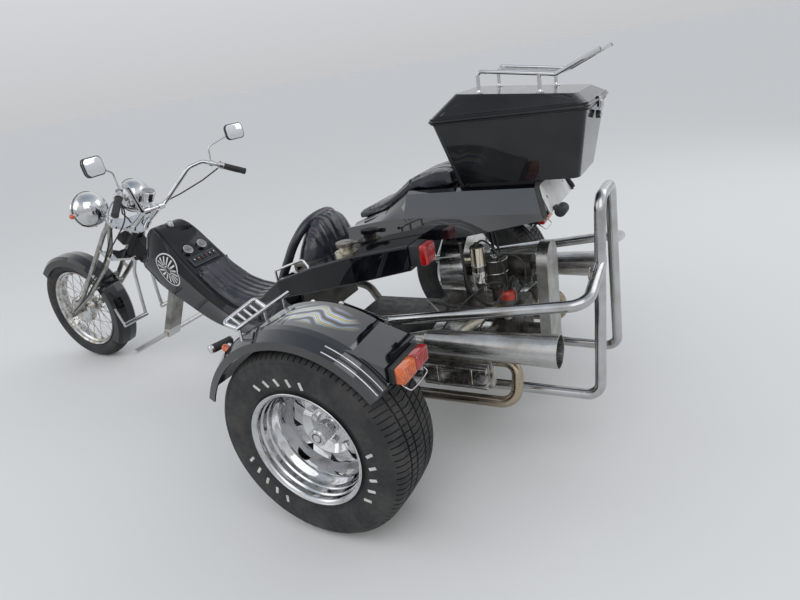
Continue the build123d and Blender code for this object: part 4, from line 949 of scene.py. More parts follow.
# %% A round gauge with bezel, dial, marks and needle, flat at the origin
def gauge(r, tall, reading):
    bezel = [(0, r * 0.94), (tall * 0.7, r * 0.96), (tall * 0.86, r), (tall, r * 0.97), (tall, r * 0.86),
        (tall - 0.004, r * 0.84)]
    dial = [(0, r * 0.84), (0.0015, r * 0.84), (0.0018, r * 0.3)]
    parts = [turned((0, 0, 0), UP, bezel, chrome), turned((0, 0, tall - 0.005), UP, dial, dash_plastic)]
    for i in range(13):
        spin = Matrix.Rotation(radians(-40 + i * 260 / 12), 4, "Z")
        parts.append(slab((r * (0.62 if i % 3 else 0.54), -0.0005, tall - 0.0036),
            (r * 0.76, 0.0005, tall - 0.0028), white_mark, 0.0002, 1, turn=spin))
    parts.append(slab((-r * 0.15, -0.0007, tall - 0.0024), (r * 0.68, 0.0007, tall - 0.0014), orange_mark,
        0.0003, 1, turn=Matrix.Rotation(radians(reading), 4, "Z")))
    parts.append(turned((0, 0, tall - 0.0028), UP, [(0, r * 0.12), (0.0022, r * 0.1)], matt_black, 16))
    parts.append(turned((0, 0, tall - 0.0012), UP,
        [(0, r * 0.86), (0.001, r * 0.86), (0.0022, r * 0.5), (0.0026, r * 0.02)], glass))
    return parts


# %% Switch panel, gauges and lock, laid on the slope
slope_x = Vector((0.12, 0, 0.13)).normalized()
slope = axes(ax(1.15, 0, 0.612), slope_x, Vector((0, 1, 0)), slope_x.cross(Vector((0, 1, 0))))
panel = [
    slab((0.033, -0.086, -0.006), (0.091, 0.086, 0.008), dash_plastic, 0.004),
    slab((0.038, -0.081, 0.006), (0.086, 0.081, 0.0098), matt_black, 0.0018),
]
for i, mark in enumerate((white_mark, white_mark, red_mark, blue_mark, orange_mark, white_mark)):
    y = (i - 2.5) * 0.0264
    tip = Matrix.Translation((0.062, y, 0.012)) @ Matrix.Rotation(radians(7 if i % 2 else -7), 4, "Y")
    panel.append(slab((0.0475, y - 0.0108, 0.008), (0.0765, y + 0.0108, 0.0112), dash_plastic, 0.001, 2))
    panel.append(slab((-0.0125, -0.0088, -0.004), (0.0125, 0.0088, 0.0038), matt_black, 0.0016, 2,
        turn=tip))
    panel.append(slab((0.003, -0.0042, 0.003), (0.0075, 0.0042, 0.0043), mark, 0.0004, 1, turn=tip))
dials = []
for side, reading in ((-1, 150), (1, 60)):
    dials += laid(gauge(0.026, 0.019, reading), about_z((0.134, side * 0.047, -0.006), pi))
lock_at = ax(1.362, 0, 0.818)
lock = [
    turned(lock_at, UP, [(0, 0.015), (0.028, 0.015), (0.031, 0.0135), (0.034, 0.0132), (0.034, 0.007)],
        chrome, 32),
    slab(lock_at + Vector((-0.011, -0.0012, 0.031)), lock_at + Vector((0.011, 0.0012, 0.0345)), matt_black,
        0.0006, 1),
]
finished("dash_instruments", laid(panel + dials, slope) + lock, "chassis", ["dash"])

# %% Speedometer's dial in its chrome cup on the handlebar
cup_way = Vector((-0.45, 0, 0.89)).normalized()
cup_top = ax(1.468, 0, 0.968) + cup_way * 0.044
speedometer = laid(gauge(0.0345, 0.0085, 200), frame_along(cup_top, cup_way, (0, 1, 0)))
finished("speedometer", speedometer, "steering")

# %% [markdown]
# ## Lamps, mirrors and grips
#
# The headlamps keep their chrome bullets from the CAD model; a fluted glass goes over each front, with a
# bezel ring. The turn signals, grips and mirror heads are made new, because their ribs and lenses are
# what one sees.

# %% Headlamp glass and bezel
flutes = finish("fluted glass", ((0.86, 0.87, 0.88), (0.72, 0.73, 0.74)), (0.03, 0.1), patch=(30, 0.5, 0.8),
    coat=1.0, bump=(180, 0.1, 0.1))
flutes.node_tree.nodes["Principled BSDF"].inputs["Transmission Weight"].default_value = 0.55
lamp_front = []
for side in (-1, 1):
    at = ax(1.745, side * 0.141, 0.966)
    lamp_front.append(turned(at, AHEAD, [(0.0285, 0.0818), (0.0318, 0.08), (0.0345, 0.066), (0.0366, 0.047),
        (0.0382, 0.026), (0.0387, 0.002)], flutes, 56, 60))
    lamp_front.append(ring(at + Vector((0.029, 0, 0)), AHEAD, 0.0845, 0.0042, chrome, 64, 12))
    lamp_front.append(ring(at + Vector((0.0145, 0, 0)), AHEAD, 0.0905, 0.0016, matt_black, 64, 8))
    for i in range(7):
        y = side * 0.141 + (i - 3) * 0.022
        reach = (0.0785 ** 2 - ((i - 3) * 0.022) ** 2) ** 0.5
        lamp_front.append(tube([ax(1.7795, y, 0.966 - reach * 0.9), ax(1.7847, y, 0.966),
            ax(1.7795, y, 0.966 + reach * 0.9)], 0.0009, flutes))
    lamp_front.append(turned(at + Vector((0.0, 0, -0.0905)), (0, 0, -1),
        [(-0.004, 0.006), (0.002, 0.006), (0.003, 0.004)], dull_steel, 6))
finished("headlamp_fronts", lamp_front, "steering")

# %% Turn signals
signals = []
for side in (-1, 1):
    at, out = ax(1.745, side * 0.221, 0.958), (0, side, 0)
    signals.append(turned(at, out, [(0.002, 0.005), (0.018, 0.005), (0.0185, 0.0105), (0.024, 0.0128),
        (0.0255, 0.013)], chrome, 32))
    signals.append(turned(at, out, [(0.025, 0.0128), (0.033, 0.0126), (0.0375, 0.0105), (0.0395, 0.006),
        (0.04, 0.001)], amber_lens, 32, 60))
finished("turn_signals", signals, "steering", ["front_indicators"])


# %% Mirror heads: a dark shell on the stem, with the glass let into it
def rounded_plate(wide, high, corner, thick, mat, edge, at):
    """A rounded plate that stands up from a place in the XY plane."""
    plate = primitive("plane", Matrix.Diagonal((wide, high, 1, 1)), size=1)
    edit_all()
    bpy.ops.mesh.bevel(offset=corner, segments=8, affect="VERTICES")
    bpy.ops.mesh.extrude_region_move(TRANSFORM_OT_translate={"value": (0, 0, thick)})
    bpy.ops.object.mode_set(mode="OBJECT")
    modified("BEVEL", width=edge, segments=3)
    plate.data.transform(Matrix.Translation(at))
    return painted(settled(plate), mat)


mirror_at = ax(1.182, -0.432, 1.214)
facing = Vector((-0.97, 0.2, 0.1)).normalized()
wide_way = Vector((0.2, 0.97, 0))
wide_way = (wide_way - facing * wide_way.dot(facing)).normalized()
mirror_parts = [
    rounded_plate(0.11, 0.08, 0.023, 0.0135, matt_black, 0.005, (0, 0, -0.0168)),
    rounded_plate(0.1105, 0.0805, 0.023, 0.005, matt_black, 0.0016, (0, 0, -0.0042)),
    rounded_plate(0.102, 0.072, 0.02, 0.0012, mirror_glass, 0.0004, (0, 0, 0.0004)),
]
laid(mirror_parts, axes(mirror_at, wide_way, facing.cross(wide_way), facing))
finished("mirror_heads", both_sides(mirror_parts), "steering")

# %% Grips with ribs and a flange, and the brake and clutch levers ahead of them
bar_end, bar_elbow = ax(1.172, -0.42, 1.004), ax(1.247, -0.312, 1.068)
grip_way = (bar_end - bar_elbow).normalized()
grip_start = bar_end - grip_way * 0.112
rows = [(0, 0.0168), (0.004, 0.017), (0.0045, 0.015)]
for i in range(12):
    t = 0.01 + i * 0.0082
    rows += [(t, 0.015), (t + 0.0012, 0.016), (t + 0.0052, 0.016), (t + 0.0064, 0.015)]
rows += [(0.1095, 0.015), (0.1105, 0.0168), (0.116, 0.0168), (0.118, 0.014)]
grip = turned(grip_start, grip_way, rows, rubber, 32)
pod = grip_start - grip_way * 0.0145
ahead = Vector((0.8, -0.4, -0.3)).normalized()
# Columns: places of the lever, measured ahead of the grip and along it
LEVER = [(0.016, 0), (0.032, 0.01), (0.044, 0.045), (0.046, 0.09), (0.04, 0.128)]
lever_line = [pod + ahead * a + grip_way * g for a, g in LEVER]
lever = [
    tube(lever_line, 0.0042, chrome, resolution=10),
    turned(lever_line[-1] - grip_way * 0.004, grip_way,
        [(0, 0.0045), (0.003, 0.0065), (0.007, 0.0068), (0.011, 0.0045)], chrome, 20),
    turned(pod + ahead * 0.02 - Vector((0, 0, 0.009)), UP, [(0, 0.008), (0.018, 0.008), (0.019, 0.005)],
        chrome, 24),
]
button = turned(pod + Vector((-0.004, 0.002, 0.0175)), (-0.15, 0, 1),
    [(0, 0.0052), (0.0035, 0.005), (0.0042, 0.0036)], red_mark, 20)
clamps = [ring(pod + grip_way * t, grip_way, 0.0192, 0.0011, chrome, 32, 8) for t in (-0.012, 0.012)]
finished("grip_sleeves", both_sides([grip]), "steering", ["grips"])
brake_line = [MIRROR @ (pod + ahead * 0.018), ax(1.33, 0.25, 1.01), ax(1.43, 0.18, 0.93),
    ax(1.56, 0.14, 0.85), ax(1.7, 0.132, 0.755), ax(1.85, 0.12, 0.64), ax(2.02, 0.112, 0.53),
    ax(2.18, 0.104, 0.43), ax(2.27, 0.086, 0.385), ax(2.292, 0.07, 0.392)]
finished("brake_cable", lead(brake_line, 0.0036, rubber), "steering")
finished("hand_levers", both_sides(lever + clamps) + [button], "steering")

# %% [markdown]
# ## Number plate and rear lamps
#
# The plate leans with the deck's end panel, so it is made flat and laid on that panel by one matrix. The
# lamps on the fenders are amber outside and red inside, on a black base; those in the arms are red with a
# black housing. Flutes on the lenses are thin raised ribs.


# %% A place about the rear axle, at an angle above level ahead
def on_fender(angle, r, y):
    return ax(r * cos(radians(angle)), y, REAR_WHEEL.z + r * sin(radians(angle)))


# %% Blank plate with a pressed rim, two screws, and the plate lamp
tail_across, tail_out = Vector((0, -1, 0)), Vector((-cos(radians(23)), 0, sin(radians(23))))
tail_frame = axes(ax(-0.62, 0, 0.884), tail_across, tail_out.cross(tail_across), tail_out)
plate = [rounded_plate(0.3, 0.104, 0.01, 0.0022, plate_paint, 0.0006, (0, 0.0517, 0.0006))]
CORNERS = [(-1, -0.8), (-1, 0.8), (-0.97, 1), (0.97, 1), (1, 0.8), (1, -0.8), (0.97, -1), (-0.97, -1)]
rim = [(x * 0.1465, 0.0517 + y * 0.0487, 0.0028) for x, y in CORNERS]
plate.append(tube(rim, 0.0013, plate_paint, cyclic=True))
for x in (-0.11, 0.11):
    plate.append(turned((x, 0.0517, 0.0026), UP, [(0, 0.0058), (0.0012, 0.0056), (0.0018, 0.004)],
        dull_steel, 24))
plate.append(turned((-0.128, -0.01, 0.0246), AHEAD,
    [(0, 0.015), (0.003, 0.019), (0.006, 0.0195), (0.05, 0.0195), (0.053, 0.019), (0.056, 0.015)],
    matt_black, 40))
plate.append(slab((-0.112, -0.004, 0.0046), (-0.088, 0.012, 0.0166), matt_black, 0.001))
plate.append(slab((-0.12, -0.002, 0.014), (-0.08, 0.0095, 0.026), glass, 0.002))
finished("number_plate_set", laid(plate, tail_frame), "chassis", ["number_plate"])


# %% Lamps on the fenders, in the arms' ends and the round markers in front
def lens(low, high, mat, ribs, edge=0.006):
    """A rounded lens whose rear face carries upright flutes."""
    parts = [slab(low, high, mat, edge, 4)]
    for i in range(ribs):
        y = low[1] + edge * 1.2 + (high[1] - low[1] - 2.4 * edge) * (i + 0.5) / ribs
        half = (high[1] - low[1] - 2.4 * edge) / ribs * 0.36
        parts.append(slab((low[0] - 0.0011, y - half, low[2] + edge * 1.3),
            (low[0] + 0.001, y + half, high[2] - edge * 1.3), mat, 0.0008, 2))
    return parts


left_lamps = [slab(ax(-0.347, 0.67, 0.6), ax(-0.3224, 0.828, 0.648), matt_black, 0.003)]
left_lamps += lens(ax(-0.3738, 0.7505, 0.5985), ax(-0.344, 0.8295, 0.6495), amber_lens, 6)
left_lamps += lens(ax(-0.3738, 0.6685, 0.5985), ax(-0.344, 0.7475, 0.6495), red_lens, 6)
left_lamps += [slab(ax(-0.216, 0.2625, 0.7625), ax(-0.1765, 0.3415, 0.8375), matt_black, 0.005, 4)]
left_lamps += lens(ax(-0.2438, 0.264, 0.764), ax(-0.213, 0.34, 0.836), red_lens, 5, 0.008)
for y, z in ((0.676, 0.606), (0.742, 0.642), (0.757, 0.606), (0.822, 0.642)):
    left_lamps.append(turned(ax(-0.373, y, z), BACK_WAY, [(0, 0.0026), (0.001, 0.0024), (0.0016, 0.0012)],
        chrome, 14))
marker_way = (0.7071, 0, 0.7071)
left_lamps.append(turned(on_fender(45, 0.402, 0.808), marker_way,
    [(0, 0.014), (0.007, 0.014), (0.008, 0.0128)], matt_black, 32))
left_lamps.append(turned(on_fender(45, 0.409, 0.808), marker_way,
    [(0, 0.0134), (0.014, 0.013), (0.0215, 0.0108), (0.0255, 0.006), (0.0262, 0.001)], amber_lens, 32, 60))
finished("rear_lamps", both_sides(left_lamps), "chassis", ["lamps"])

# %% Wire guards below the fender lamps
hook = tube([ax(-0.326, 0.69, 0.604), ax(-0.352, 0.688, 0.586), ax(-0.372, 0.69, 0.572),
    ax(-0.374, 0.705, 0.566), ax(-0.374, 0.79, 0.566), ax(-0.372, 0.806, 0.572), ax(-0.352, 0.808, 0.586),
    ax(-0.326, 0.806, 0.604)], 0.0024, chrome, resolution=8)
finished("lamp_guards", both_sides([hook]), "chassis")

# %% [markdown]
# ## Fenders, case and deck
#
# Bright strips run round the rear end of each fender's lip. The top case gets the rubber band in its
# seam, a latch with a lock, chrome feet under the rack, and a felt mat inside that shows once the lid is
# up. A thick rubber edge closes the deck's rear rim.

# %% Fender strips, bolts and a rubber edge
strips = []
for share, thick, mat in ((0.3, 0.0026, chrome), (0.52, 0.003, matt_black), (0.76, 0.0026, chrome)):
    r, y = 0.405 - 0.021 * share + 0.0006, 0.842 + 0.042 * share + 0.0003
    strips.append(tube([on_fender(112 + i * 3, r, y) for i in range(11)], thick, mat, resolution=4))
edge = [(0.402, 0.622), (0.4065, 0.65), (0.4068, 0.83), (0.401, 0.846), (0.382, 0.8815), (0.36, 0.884)]
strips.append(tube([on_fender(142.8, r, y) for r, y in edge], 0.004, rubber, resolution=8))
for angle, y in ((30, 0.65), (30, 0.8), (137, 0.655)):
    at = on_fender(angle, 0.4068, y)
    way = (cos(radians(angle)), 0, sin(radians(angle)))
    strips.append(turned(at, way, [(0, 0.0085), (0.0012, 0.0085), (0.0018, 0.006), (0.0032, 0.0052),
        (0.0038, 0.003)], dull_steel, 24))
finished("fender_trim", both_sides(strips), "chassis")

# %% Rubber sleeves and bright end caps on the passenger's pegs
peg_way = Vector((0.022, 0.083, 0)).normalized()
peg_foot = ax(0.3285, 0.745, 0.6418)
rows = [(0.004, 0.0124), (0.006, 0.015), (0.01, 0.015)]
for i in range(7):
    t = 0.011 + i * 0.008
    rows += [(t, 0.0138), (t + 0.0015, 0.0148), (t + 0.0055, 0.0148), (t + 0.007, 0.0138)]
rows += [(0.069, 0.0152), (0.074, 0.0152), (0.075, 0.013)]
peg = [
    turned(peg_foot, peg_way, rows, rubber, 32),
    turned(peg_foot, peg_way, [(0.0745, 0.0132), (0.0765, 0.0146), (0.085, 0.0144), (0.0885, 0.011),
        (0.0892, 0.004)], chrome, 32),
]
finished("peg_sleeves", both_sides(peg), "chassis")

# %% Fuel filler: screws in its flange, a knurled cap edge and the lever's black tip
brass = finish("brass", ((0.62, 0.42, 0.16), (0.4, 0.27, 0.12)), (0.22, 0.4), metal=1.0)
FILLER = (0.112, 0.292)          # its middle from above
filler_parts = []
for i in range(6):
    angle = radians(30 + 60 * i)
    filler_parts.append(turned(ax(*FILLER, 0.8005) + 0.0365 * Vector((cos(angle), sin(angle), 0)), UP,
        [(0, 0.0042), (0.001, 0.0042), (0.002, 0.0026)], dull_steel, 16))
for i in range(30):
    spin = about_z(ax(*FILLER, 0.83), 2 * pi * i / 30)
    filler_parts.append(slab((0.0332, -0.0018, -0.0055), (0.035, 0.0018, 0.0055), filler_metal, 0.0006, 1,
        turn=spin))
filler_parts.append(ring(ax(*FILLER, 0.8225), UP, 0.0285, 0.0022, brass, 40, 8))
lever_way = Vector((-0.082, -0.016, 0.005)).normalized()
filler_parts.append(turned(ax(0.058, 0.2815, 0.8343), lever_way,
    [(0, 0.0074), (0.002, 0.008), (0.022, 0.0082), (0.027, 0.0055)], matt_black, 24))
finished("filler_fittings", filler_parts, "chassis")


# %% A path round a rounded rectangle, seen from above
def rounded_path(front, rear, half, corner, z, steps=6):
    points = []
    for x, y, first in ((front, half, 0), (rear, half, 90), (rear, -half, 180), (front, -half, 270)):
        middle_x, middle_y = x - corner * (1 if x == front else -1), y - corner * (1 if y > 0 else -1)
        for i in range(steps + 1):
            angle = radians(first + 90 * i / steps)
            points.append(ax(middle_x + corner * cos(angle), middle_y + corner * sin(angle), z))
    return points


# %% Top case: rounded lip and raised side panels on the lid, band in the seam, latch
def lid_side(s, t, side):
    """A place on the lid's sloping side: s runs to the rear, t runs up."""
    low = ax(-0.262 - 0.474 * s, side * 0.174, 1.226)
    return low.lerp(ax(-0.33 - 0.378 * s, side * 0.127, 1.2917 - 0.0398 * s), t)


def side_panel(side):
    panel = primitive("grid", x_subdivisions=40, y_subdivisions=14, size=2)
    corner = lid_side(0, 0, side)
    out = (lid_side(1, 0, side) - corner).cross(lid_side(0, 1, side) - corner).normalized() * -side
    for vert in panel.data.vertices:
        s, t = (vert.co.x + 1) / 2, (vert.co.y + 1) / 2
        arch = 0.2 + 0.72 * (1 - (2 * s - 1) ** 4)
        raised = min(1, min(s, 1 - s) * 20, min(t, 1 - t) * 7)
        lift = 0.0042 * raised * (2 - raised) - 0.0006
        vert.co = lid_side(0.02 + 0.96 * s, 0.05 + (arch - 0.05) * t, side) + out * lift
    modified("SOLIDIFY", thickness=0.0016, offset=-1 if side < 0 else 1)
    return painted(settled(panel, 60), case_plastic)


lid_lip = tube(rounded_path(-0.2335, -0.7565, 0.1785, 0.026, 1.215), 0.0052, case_plastic, order=2,
    cyclic=True)
finished("lid_trim", [lid_lip, side_panel(1), side_panel(-1)], "case_lid")
seam_band = tube(rounded_path(-0.242, -0.752, 0.1732, 0.026, 1.2035), 0.0022, rubber, order=2, cyclic=True)
latch = [
    slab(ax(-0.764, -0.02, 1.18), ax(-0.7605, 0.02, 1.223), chrome, 0.0012),
    slab(ax(-0.77, -0.014, 1.186), ax(-0.7635, 0.014, 1.212), chrome, 0.0025),
    turned(ax(-0.76, 0, 1.168), BACK_WAY, [(0, 0.0105), (0.004, 0.0105), (0.005, 0.009), (0.0052, 0.003)],
        chrome, 32),
    slab(ax(-0.7656, -0.0008, 1.1645), ax(-0.7648, 0.0008, 1.1715), matt_black, 0.0002, 1),
    turned(ax(-0.748, 0, 1.168), BACK_WAY, [(0, 0.0125), (0.0128, 0.0125)], matt_black, 32),
]
finished("case_latch", [seam_band, *latch], "chassis")
felt = finish("case felt", ((0.03, 0.03, 0.032), (0.06, 0.058, 0.055)), (0.85, 0.95),
    patch=(60, 0.35, 0.65), bump=(900, 0.8, 0.5))
mat_parts = [slab(ax(-0.702, -0.123, 0.9984), ax(-0.308, 0.123, 1.0024), felt, 0.0015)]
finished("case_mat", mat_parts, "chassis")

# %% Feet of the lid's rack and its end caps
feet = []
for x, z in ((-0.4, 1.2838), (-0.6, 1.2628)):
    for y in (-0.105, 0.105):
        feet.append(turned(ax(x, y, z), (-0.1045, 0, 0.9945),
            [(0, 0.013), (0.003, 0.013), (0.0048, 0.0095), (0.01, 0.0075)], chrome, 28))
for y in (-0.105, 0.105):
    feet.append(turned(ax(-0.782, y, 1.3662), (-0.92, 0, 0.385),
        [(0, 0.0055), (0.002, 0.0056), (0.003, 0.004)], rubber, 20))
finished("rack_feet", feet, "case_lid")

# %% Rubber edge round the deck's rear rim
deck_rim = [(0.2035, 0.887), (0.2, 0.899), (0.176, 0.936), (0.15, 0.9735), (0.1285, 0.9815)]
rim_line = [ax(-0.62 + (z - 0.884) * 0.4245, y, z) for y, z in deck_rim]
middle = Vector((rim_line[-1].x, 0, rim_line[-1].z))
rim_line = [*rim_line, middle, *[MIRROR @ p for p in reversed(rim_line)]]
finished("deck_edge", tube(rim_line, 0.0085, rubber, order=2), "chassis")

# %% [markdown]
# ## Engine dressing
#
# The open engine lives from what hangs on it: a red distributor cap with its leads, hoses along the cooling
# tin, boots on the spark plugs, bails over the rocker covers, clamps and screws. Leads and hoses are curves
# with a round bevel, held at both ends.

# %% Distributor
cap_red = finish("distributor cap", ((0.42, 0.03, 0.012), (0.2, 0.018, 0.01)), (0.25, 0.45),
    patch=(60, 0.4, 0.7), coat=0.2, bump=(300, 0.5, 0.08))
foot, head = ax(-0.432, 0.117, 0.478), ax(-0.441, 0.121, 0.606)
cap_way = (head - foot).normalized()
distributor = [
    turned(ax(-0.432, 0.117, 0.4785), UP, [(0, 0.0165), (0.01, 0.0165), (0.012, 0.013), (0.056, 0.013),
        (0.058, 0.0165), (0.066, 0.0165)], dull_steel, 32),
    turned(foot + cap_way * 0.062, cap_way, [(0, 0.02), (0.004, 0.031), (0.022, 0.031), (0.0225, 0.033),
        (0.0255, 0.033)], cast_metal, 36),
    turned(foot + cap_way * 0.0875, cap_way, [(0, 0.032), (0.016, 0.03), (0.026, 0.027), (0.031, 0.02),
        (0.032, 0.005)], cap_red, 36),
]
towers = []
for i in range(5):
    out = Vector((0.0175 if i < 4 else 0, 0, 0))
    at = foot + cap_way * 0.112 + Matrix.Rotation(pi / 2 * i, 4, cap_way) @ out
    towers.append(at)
    distributor.append(turned(at, cap_way, [(0, 0.0085), (0.009, 0.0072), (0.01, 0.0072)], cap_red, 20))
    distributor.append(turned(at + cap_way * 0.0095, cap_way,
        [(0, 0.0078), (0.004, 0.0078), (0.011, 0.005), (0.0125, 0.0042)], matt_black, 20))
for side in (-1, 1):
    clip = [head + Vector((side * x, y, z)) for x, y, z in ((0.03, 0.004, -0.046), (0.034, 0.004, -0.03),
        (0.03, 0.003, -0.01), (0.022, 0.002, -0.002))]
    distributor.append(tube(clip, 0.0014, dull_steel))
finished("distributor_cap", distributor, "chassis", ["distributor"])

# %% Spark plug boots and leads
leads = []
CARB, COIL = (-0.385, 0.076), (-0.35, 0.152)          # their middles from above
# Columns: x of the plug, its side, places between distributor and plug
ROUTES = [
    (-0.364, 1, [(-0.452, 0.165, 0.64), (-0.445, 0.225, 0.6), (-0.4, 0.285, 0.54)]),
    (-0.236, 1, [(-0.4, 0.15, 0.65), (-0.33, 0.2, 0.6), (-0.262, 0.265, 0.545)]),
    (-0.364, -1, [(-0.47, 0.07, 0.64), (-0.495, 0.03, 0.57), (-0.47, -0.11, 0.545), (-0.4, -0.24, 0.545)]),
    (-0.236, -1, [(-0.455, 0.085, 0.655), (-0.478, 0.045, 0.58), (-0.455, -0.1, 0.52), (-0.33, -0.19, 0.54),
        (-0.262, -0.262, 0.545)]),
]
for (x, side, route), tower in zip(ROUTES, towers):
    tip, way = ax(x, side * 0.292, 0.432), Vector((0, side * 0.5, 0.866))
    leads.append(turned(tip, way, [(0, 0.01), (0.012, 0.0105), (0.016, 0.0082), (0.04, 0.0075),
        (0.044, 0.0048)], rubber, 24))
    line = [tower + cap_way * 0.018, tower + cap_way * 0.038, *[ax(*p) for p in route], tip + way * 0.062,
        tip + way * 0.04]
    leads.append(lead(line, 0.0036, matt_black))
coil_line = [towers[4] + cap_way * 0.018, towers[4] + cap_way * 0.06, ax(-0.43, 0.128, 0.7),
    ax(-0.395, 0.14, 0.79), ax(-0.36, 0.15, 0.8), ax(*COIL, 0.772)]
leads.append(lead(coil_line, 0.0036, matt_black))
finished("ignition_leads", leads, "chassis")

# %% Hoses and thin wires along the cooling tin and under the deck
# Columns: radius, finish, places
HOSES = [
    (0.006, rubber, [(-0.15, 0.2, 0.56), (-0.19, 0.212, 0.572), (-0.235, 0.205, 0.56), (-0.29, 0.19, 0.545),
        (-0.35, 0.172, 0.538), (-0.405, 0.15, 0.536)]),
    (0.0055, rubber, [(-0.292, 0.165, 0.795), (-0.3, 0.172, 0.74), (-0.304, 0.176, 0.66),
        (-0.318, 0.172, 0.6), (-0.345, 0.155, 0.55), (-0.372, 0.132, 0.53)]),
    (0.003, matt_black, [(-0.3, 0.186, 0.79), (-0.306, 0.188, 0.73), (-0.31, 0.19, 0.65),
        (-0.33, 0.186, 0.59), (-0.378, 0.17, 0.56), (-0.44, 0.15, 0.56)]),
    (0.003, matt_black, [(-0.396, 0.104, 0.69), (-0.42, 0.122, 0.73), (-0.47, 0.132, 0.742),
        (-0.512, 0.128, 0.712), (-0.516, 0.122, 0.65), (-0.496, 0.122, 0.6), (-0.466, 0.122, 0.575),
        (-0.44, 0.118, 0.545)]),
    (0.0026, dull_steel, [(-0.186, 0.3, 0.78), (-0.2, 0.265, 0.765), (-0.225, 0.225, 0.752),
        (-0.262, 0.19, 0.745), (-0.3, 0.17, 0.742)]),
    (0.0026, dull_steel, [(-0.15, 0.206, 0.58), (-0.2, 0.236, 0.56), (-0.25, 0.262, 0.52),
        (-0.285, 0.27, 0.47), (-0.3, 0.262, 0.44)]),
    (0.006, rubber, [(-0.385, 0.062, 0.69), (-0.36, 0.02, 0.74), (-0.33, -0.05, 0.77), (-0.3, -0.12, 0.76),
        (-0.292, -0.16, 0.7)]),
    (0.0034, matt_black, [(-0.345, 0.14, 0.65), (-0.33, 0.11, 0.62), (-0.34, 0.08, 0.58),
        (-0.385, 0.052, 0.56), (-0.42, 0.066, 0.545), (-0.432, 0.1, 0.53)]),
    (0.0045, rubber, [(-0.292, -0.165, 0.79), (-0.302, -0.172, 0.7), (-0.32, -0.178, 0.61),
        (-0.345, -0.18, 0.56), (-0.38, -0.165, 0.52), (-0.4, -0.12, 0.484)]),
]
hoses = [lead([ax(*p) for p in places], r, mat) for r, mat, places in HOSES]
# Columns: place, direction, radius of each hose clamp
CLAMPS = [((-0.405, 0.15, 0.536), (1, -0.2, 0), 0.0068), ((-0.155, 0.201, 0.562), (1, 0, 0.2), 0.0068),
    ((-0.372, 0.132, 0.53), (0.5, 0.5, 1), 0.0064), ((-0.292, 0.165, 0.79), UP, 0.0064)]
for at, way, r in CLAMPS:
    hoses.append(ring(ax(*at), way, r, 0.0016, dull_steel, 20, 8))
hoses.append(turned(ax(-0.402, 0.1505, 0.536), (-1, -0.18, 0),
    [(0, 0.0085), (0.01, 0.0085), (0.011, 0.006), (0.026, 0.0058)], brass, 6))
hoses.append(turned(ax(-0.424, 0.1465, 0.536), (-0.2, -0.9, 0), [(0, 0.01), (0.014, 0.01), (0.016, 0.007)],
    dull_steel, 24))
finished("engine_hoses", hoses, "chassis")

# %% Carburettor: filter band, wing nut, bowl screws, lever and spring
carb = [
    ring(ax(*CARB, 0.652), UP, 0.0462, 0.0018, chrome, 48, 8),
    ring(ax(*CARB, 0.7), UP, 0.0455, 0.0024, chrome, 48, 8),
    turned(ax(*CARB, 0.704), UP, [(0, 0.01), (0.002, 0.0095), (0.003, 0.0055), (0.011, 0.005)], chrome, 24),
]
for turn in (0, pi):
    spin = about_z(ax(*CARB, 0.711), turn + 0.6)
    carb.append(slab((0.003, -0.0012, -0.0035), (0.015, 0.0012, 0.005), chrome, 0.001, 2, turn=spin))
for i in range(28):
    spin = about_z(ax(*CARB, 0.676), 2 * pi * i / 28)
    carb.append(slab((0.0455, -0.0026, -0.019), (0.0472, 0.0026, 0.019), matt_black, 0.0006, 1, turn=spin))
for x, y in ((-0.404, 0.053), (-0.404, 0.093), (-0.36, 0.053), (-0.36, 0.093)):
    carb.append(turned(ax(x, y, 0.6525), UP, [(-0.004, 0.003), (0.001, 0.003), (0.0018, 0.0018)],
        dull_steel, 12))
for x, z in ((-0.402, 0.598), (-0.36, 0.598), (-0.402, 0.64), (-0.36, 0.64)):
    carb.append(turned(ax(x, 0.0998, z), (0, 1, 0), [(0, 0.0034), (0.002, 0.0032), (0.003, 0.002)],
        dull_steel, 12))
carb.append(slab(ax(-0.356, 0.1, 0.612), ax(-0.35, 0.104, 0.646), dull_steel, 0.001))
coil_points = [ax(-0.353 + 0.0035 * cos(k * 1.4), 0.1065 + 0.0035 * sin(k * 1.4), 0.604 - k * 0.0013)
    for k in range(60)]
carb.append(tube(coil_points, 0.0007, dull_steel, resolution=3))
finished("carburettor_fittings", carb, "chassis")

# %% Coil canister: flange, neck, band and terminals
canister = [
    turned(ax(*COIL, 0.637), UP, [(0, 0.018), (0.001, 0.028), (0.006, 0.028), (0.007, 0.0262)], chrome, 40),
    ring(ax(*COIL, 0.7), UP, 0.0264, 0.0016, dull_steel, 40, 8),
    turned(ax(*COIL, 0.7695), UP, [(0, 0.024), (0.005, 0.023), (0.0065, 0.01), (0.016, 0.009)], matt_black,
        32),
    turned(ax(*COIL, 0.593), UP, [(0, 0.01), (0.015, 0.011), (0.044, 0.015)], matt_black, 28),
]
for dx, dy in ((0.017, 0.006), (-0.017, -0.006)):
    canister.append(turned(ax(-0.35 + dx, 0.152 + dy, 0.605), UP,
        [(0, 0.003), (0.01, 0.003), (0.0105, 0.0052), (0.018, 0.0052), (0.032, 0.003)], chrome, 16))
finished("coil_fittings", canister, "chassis")

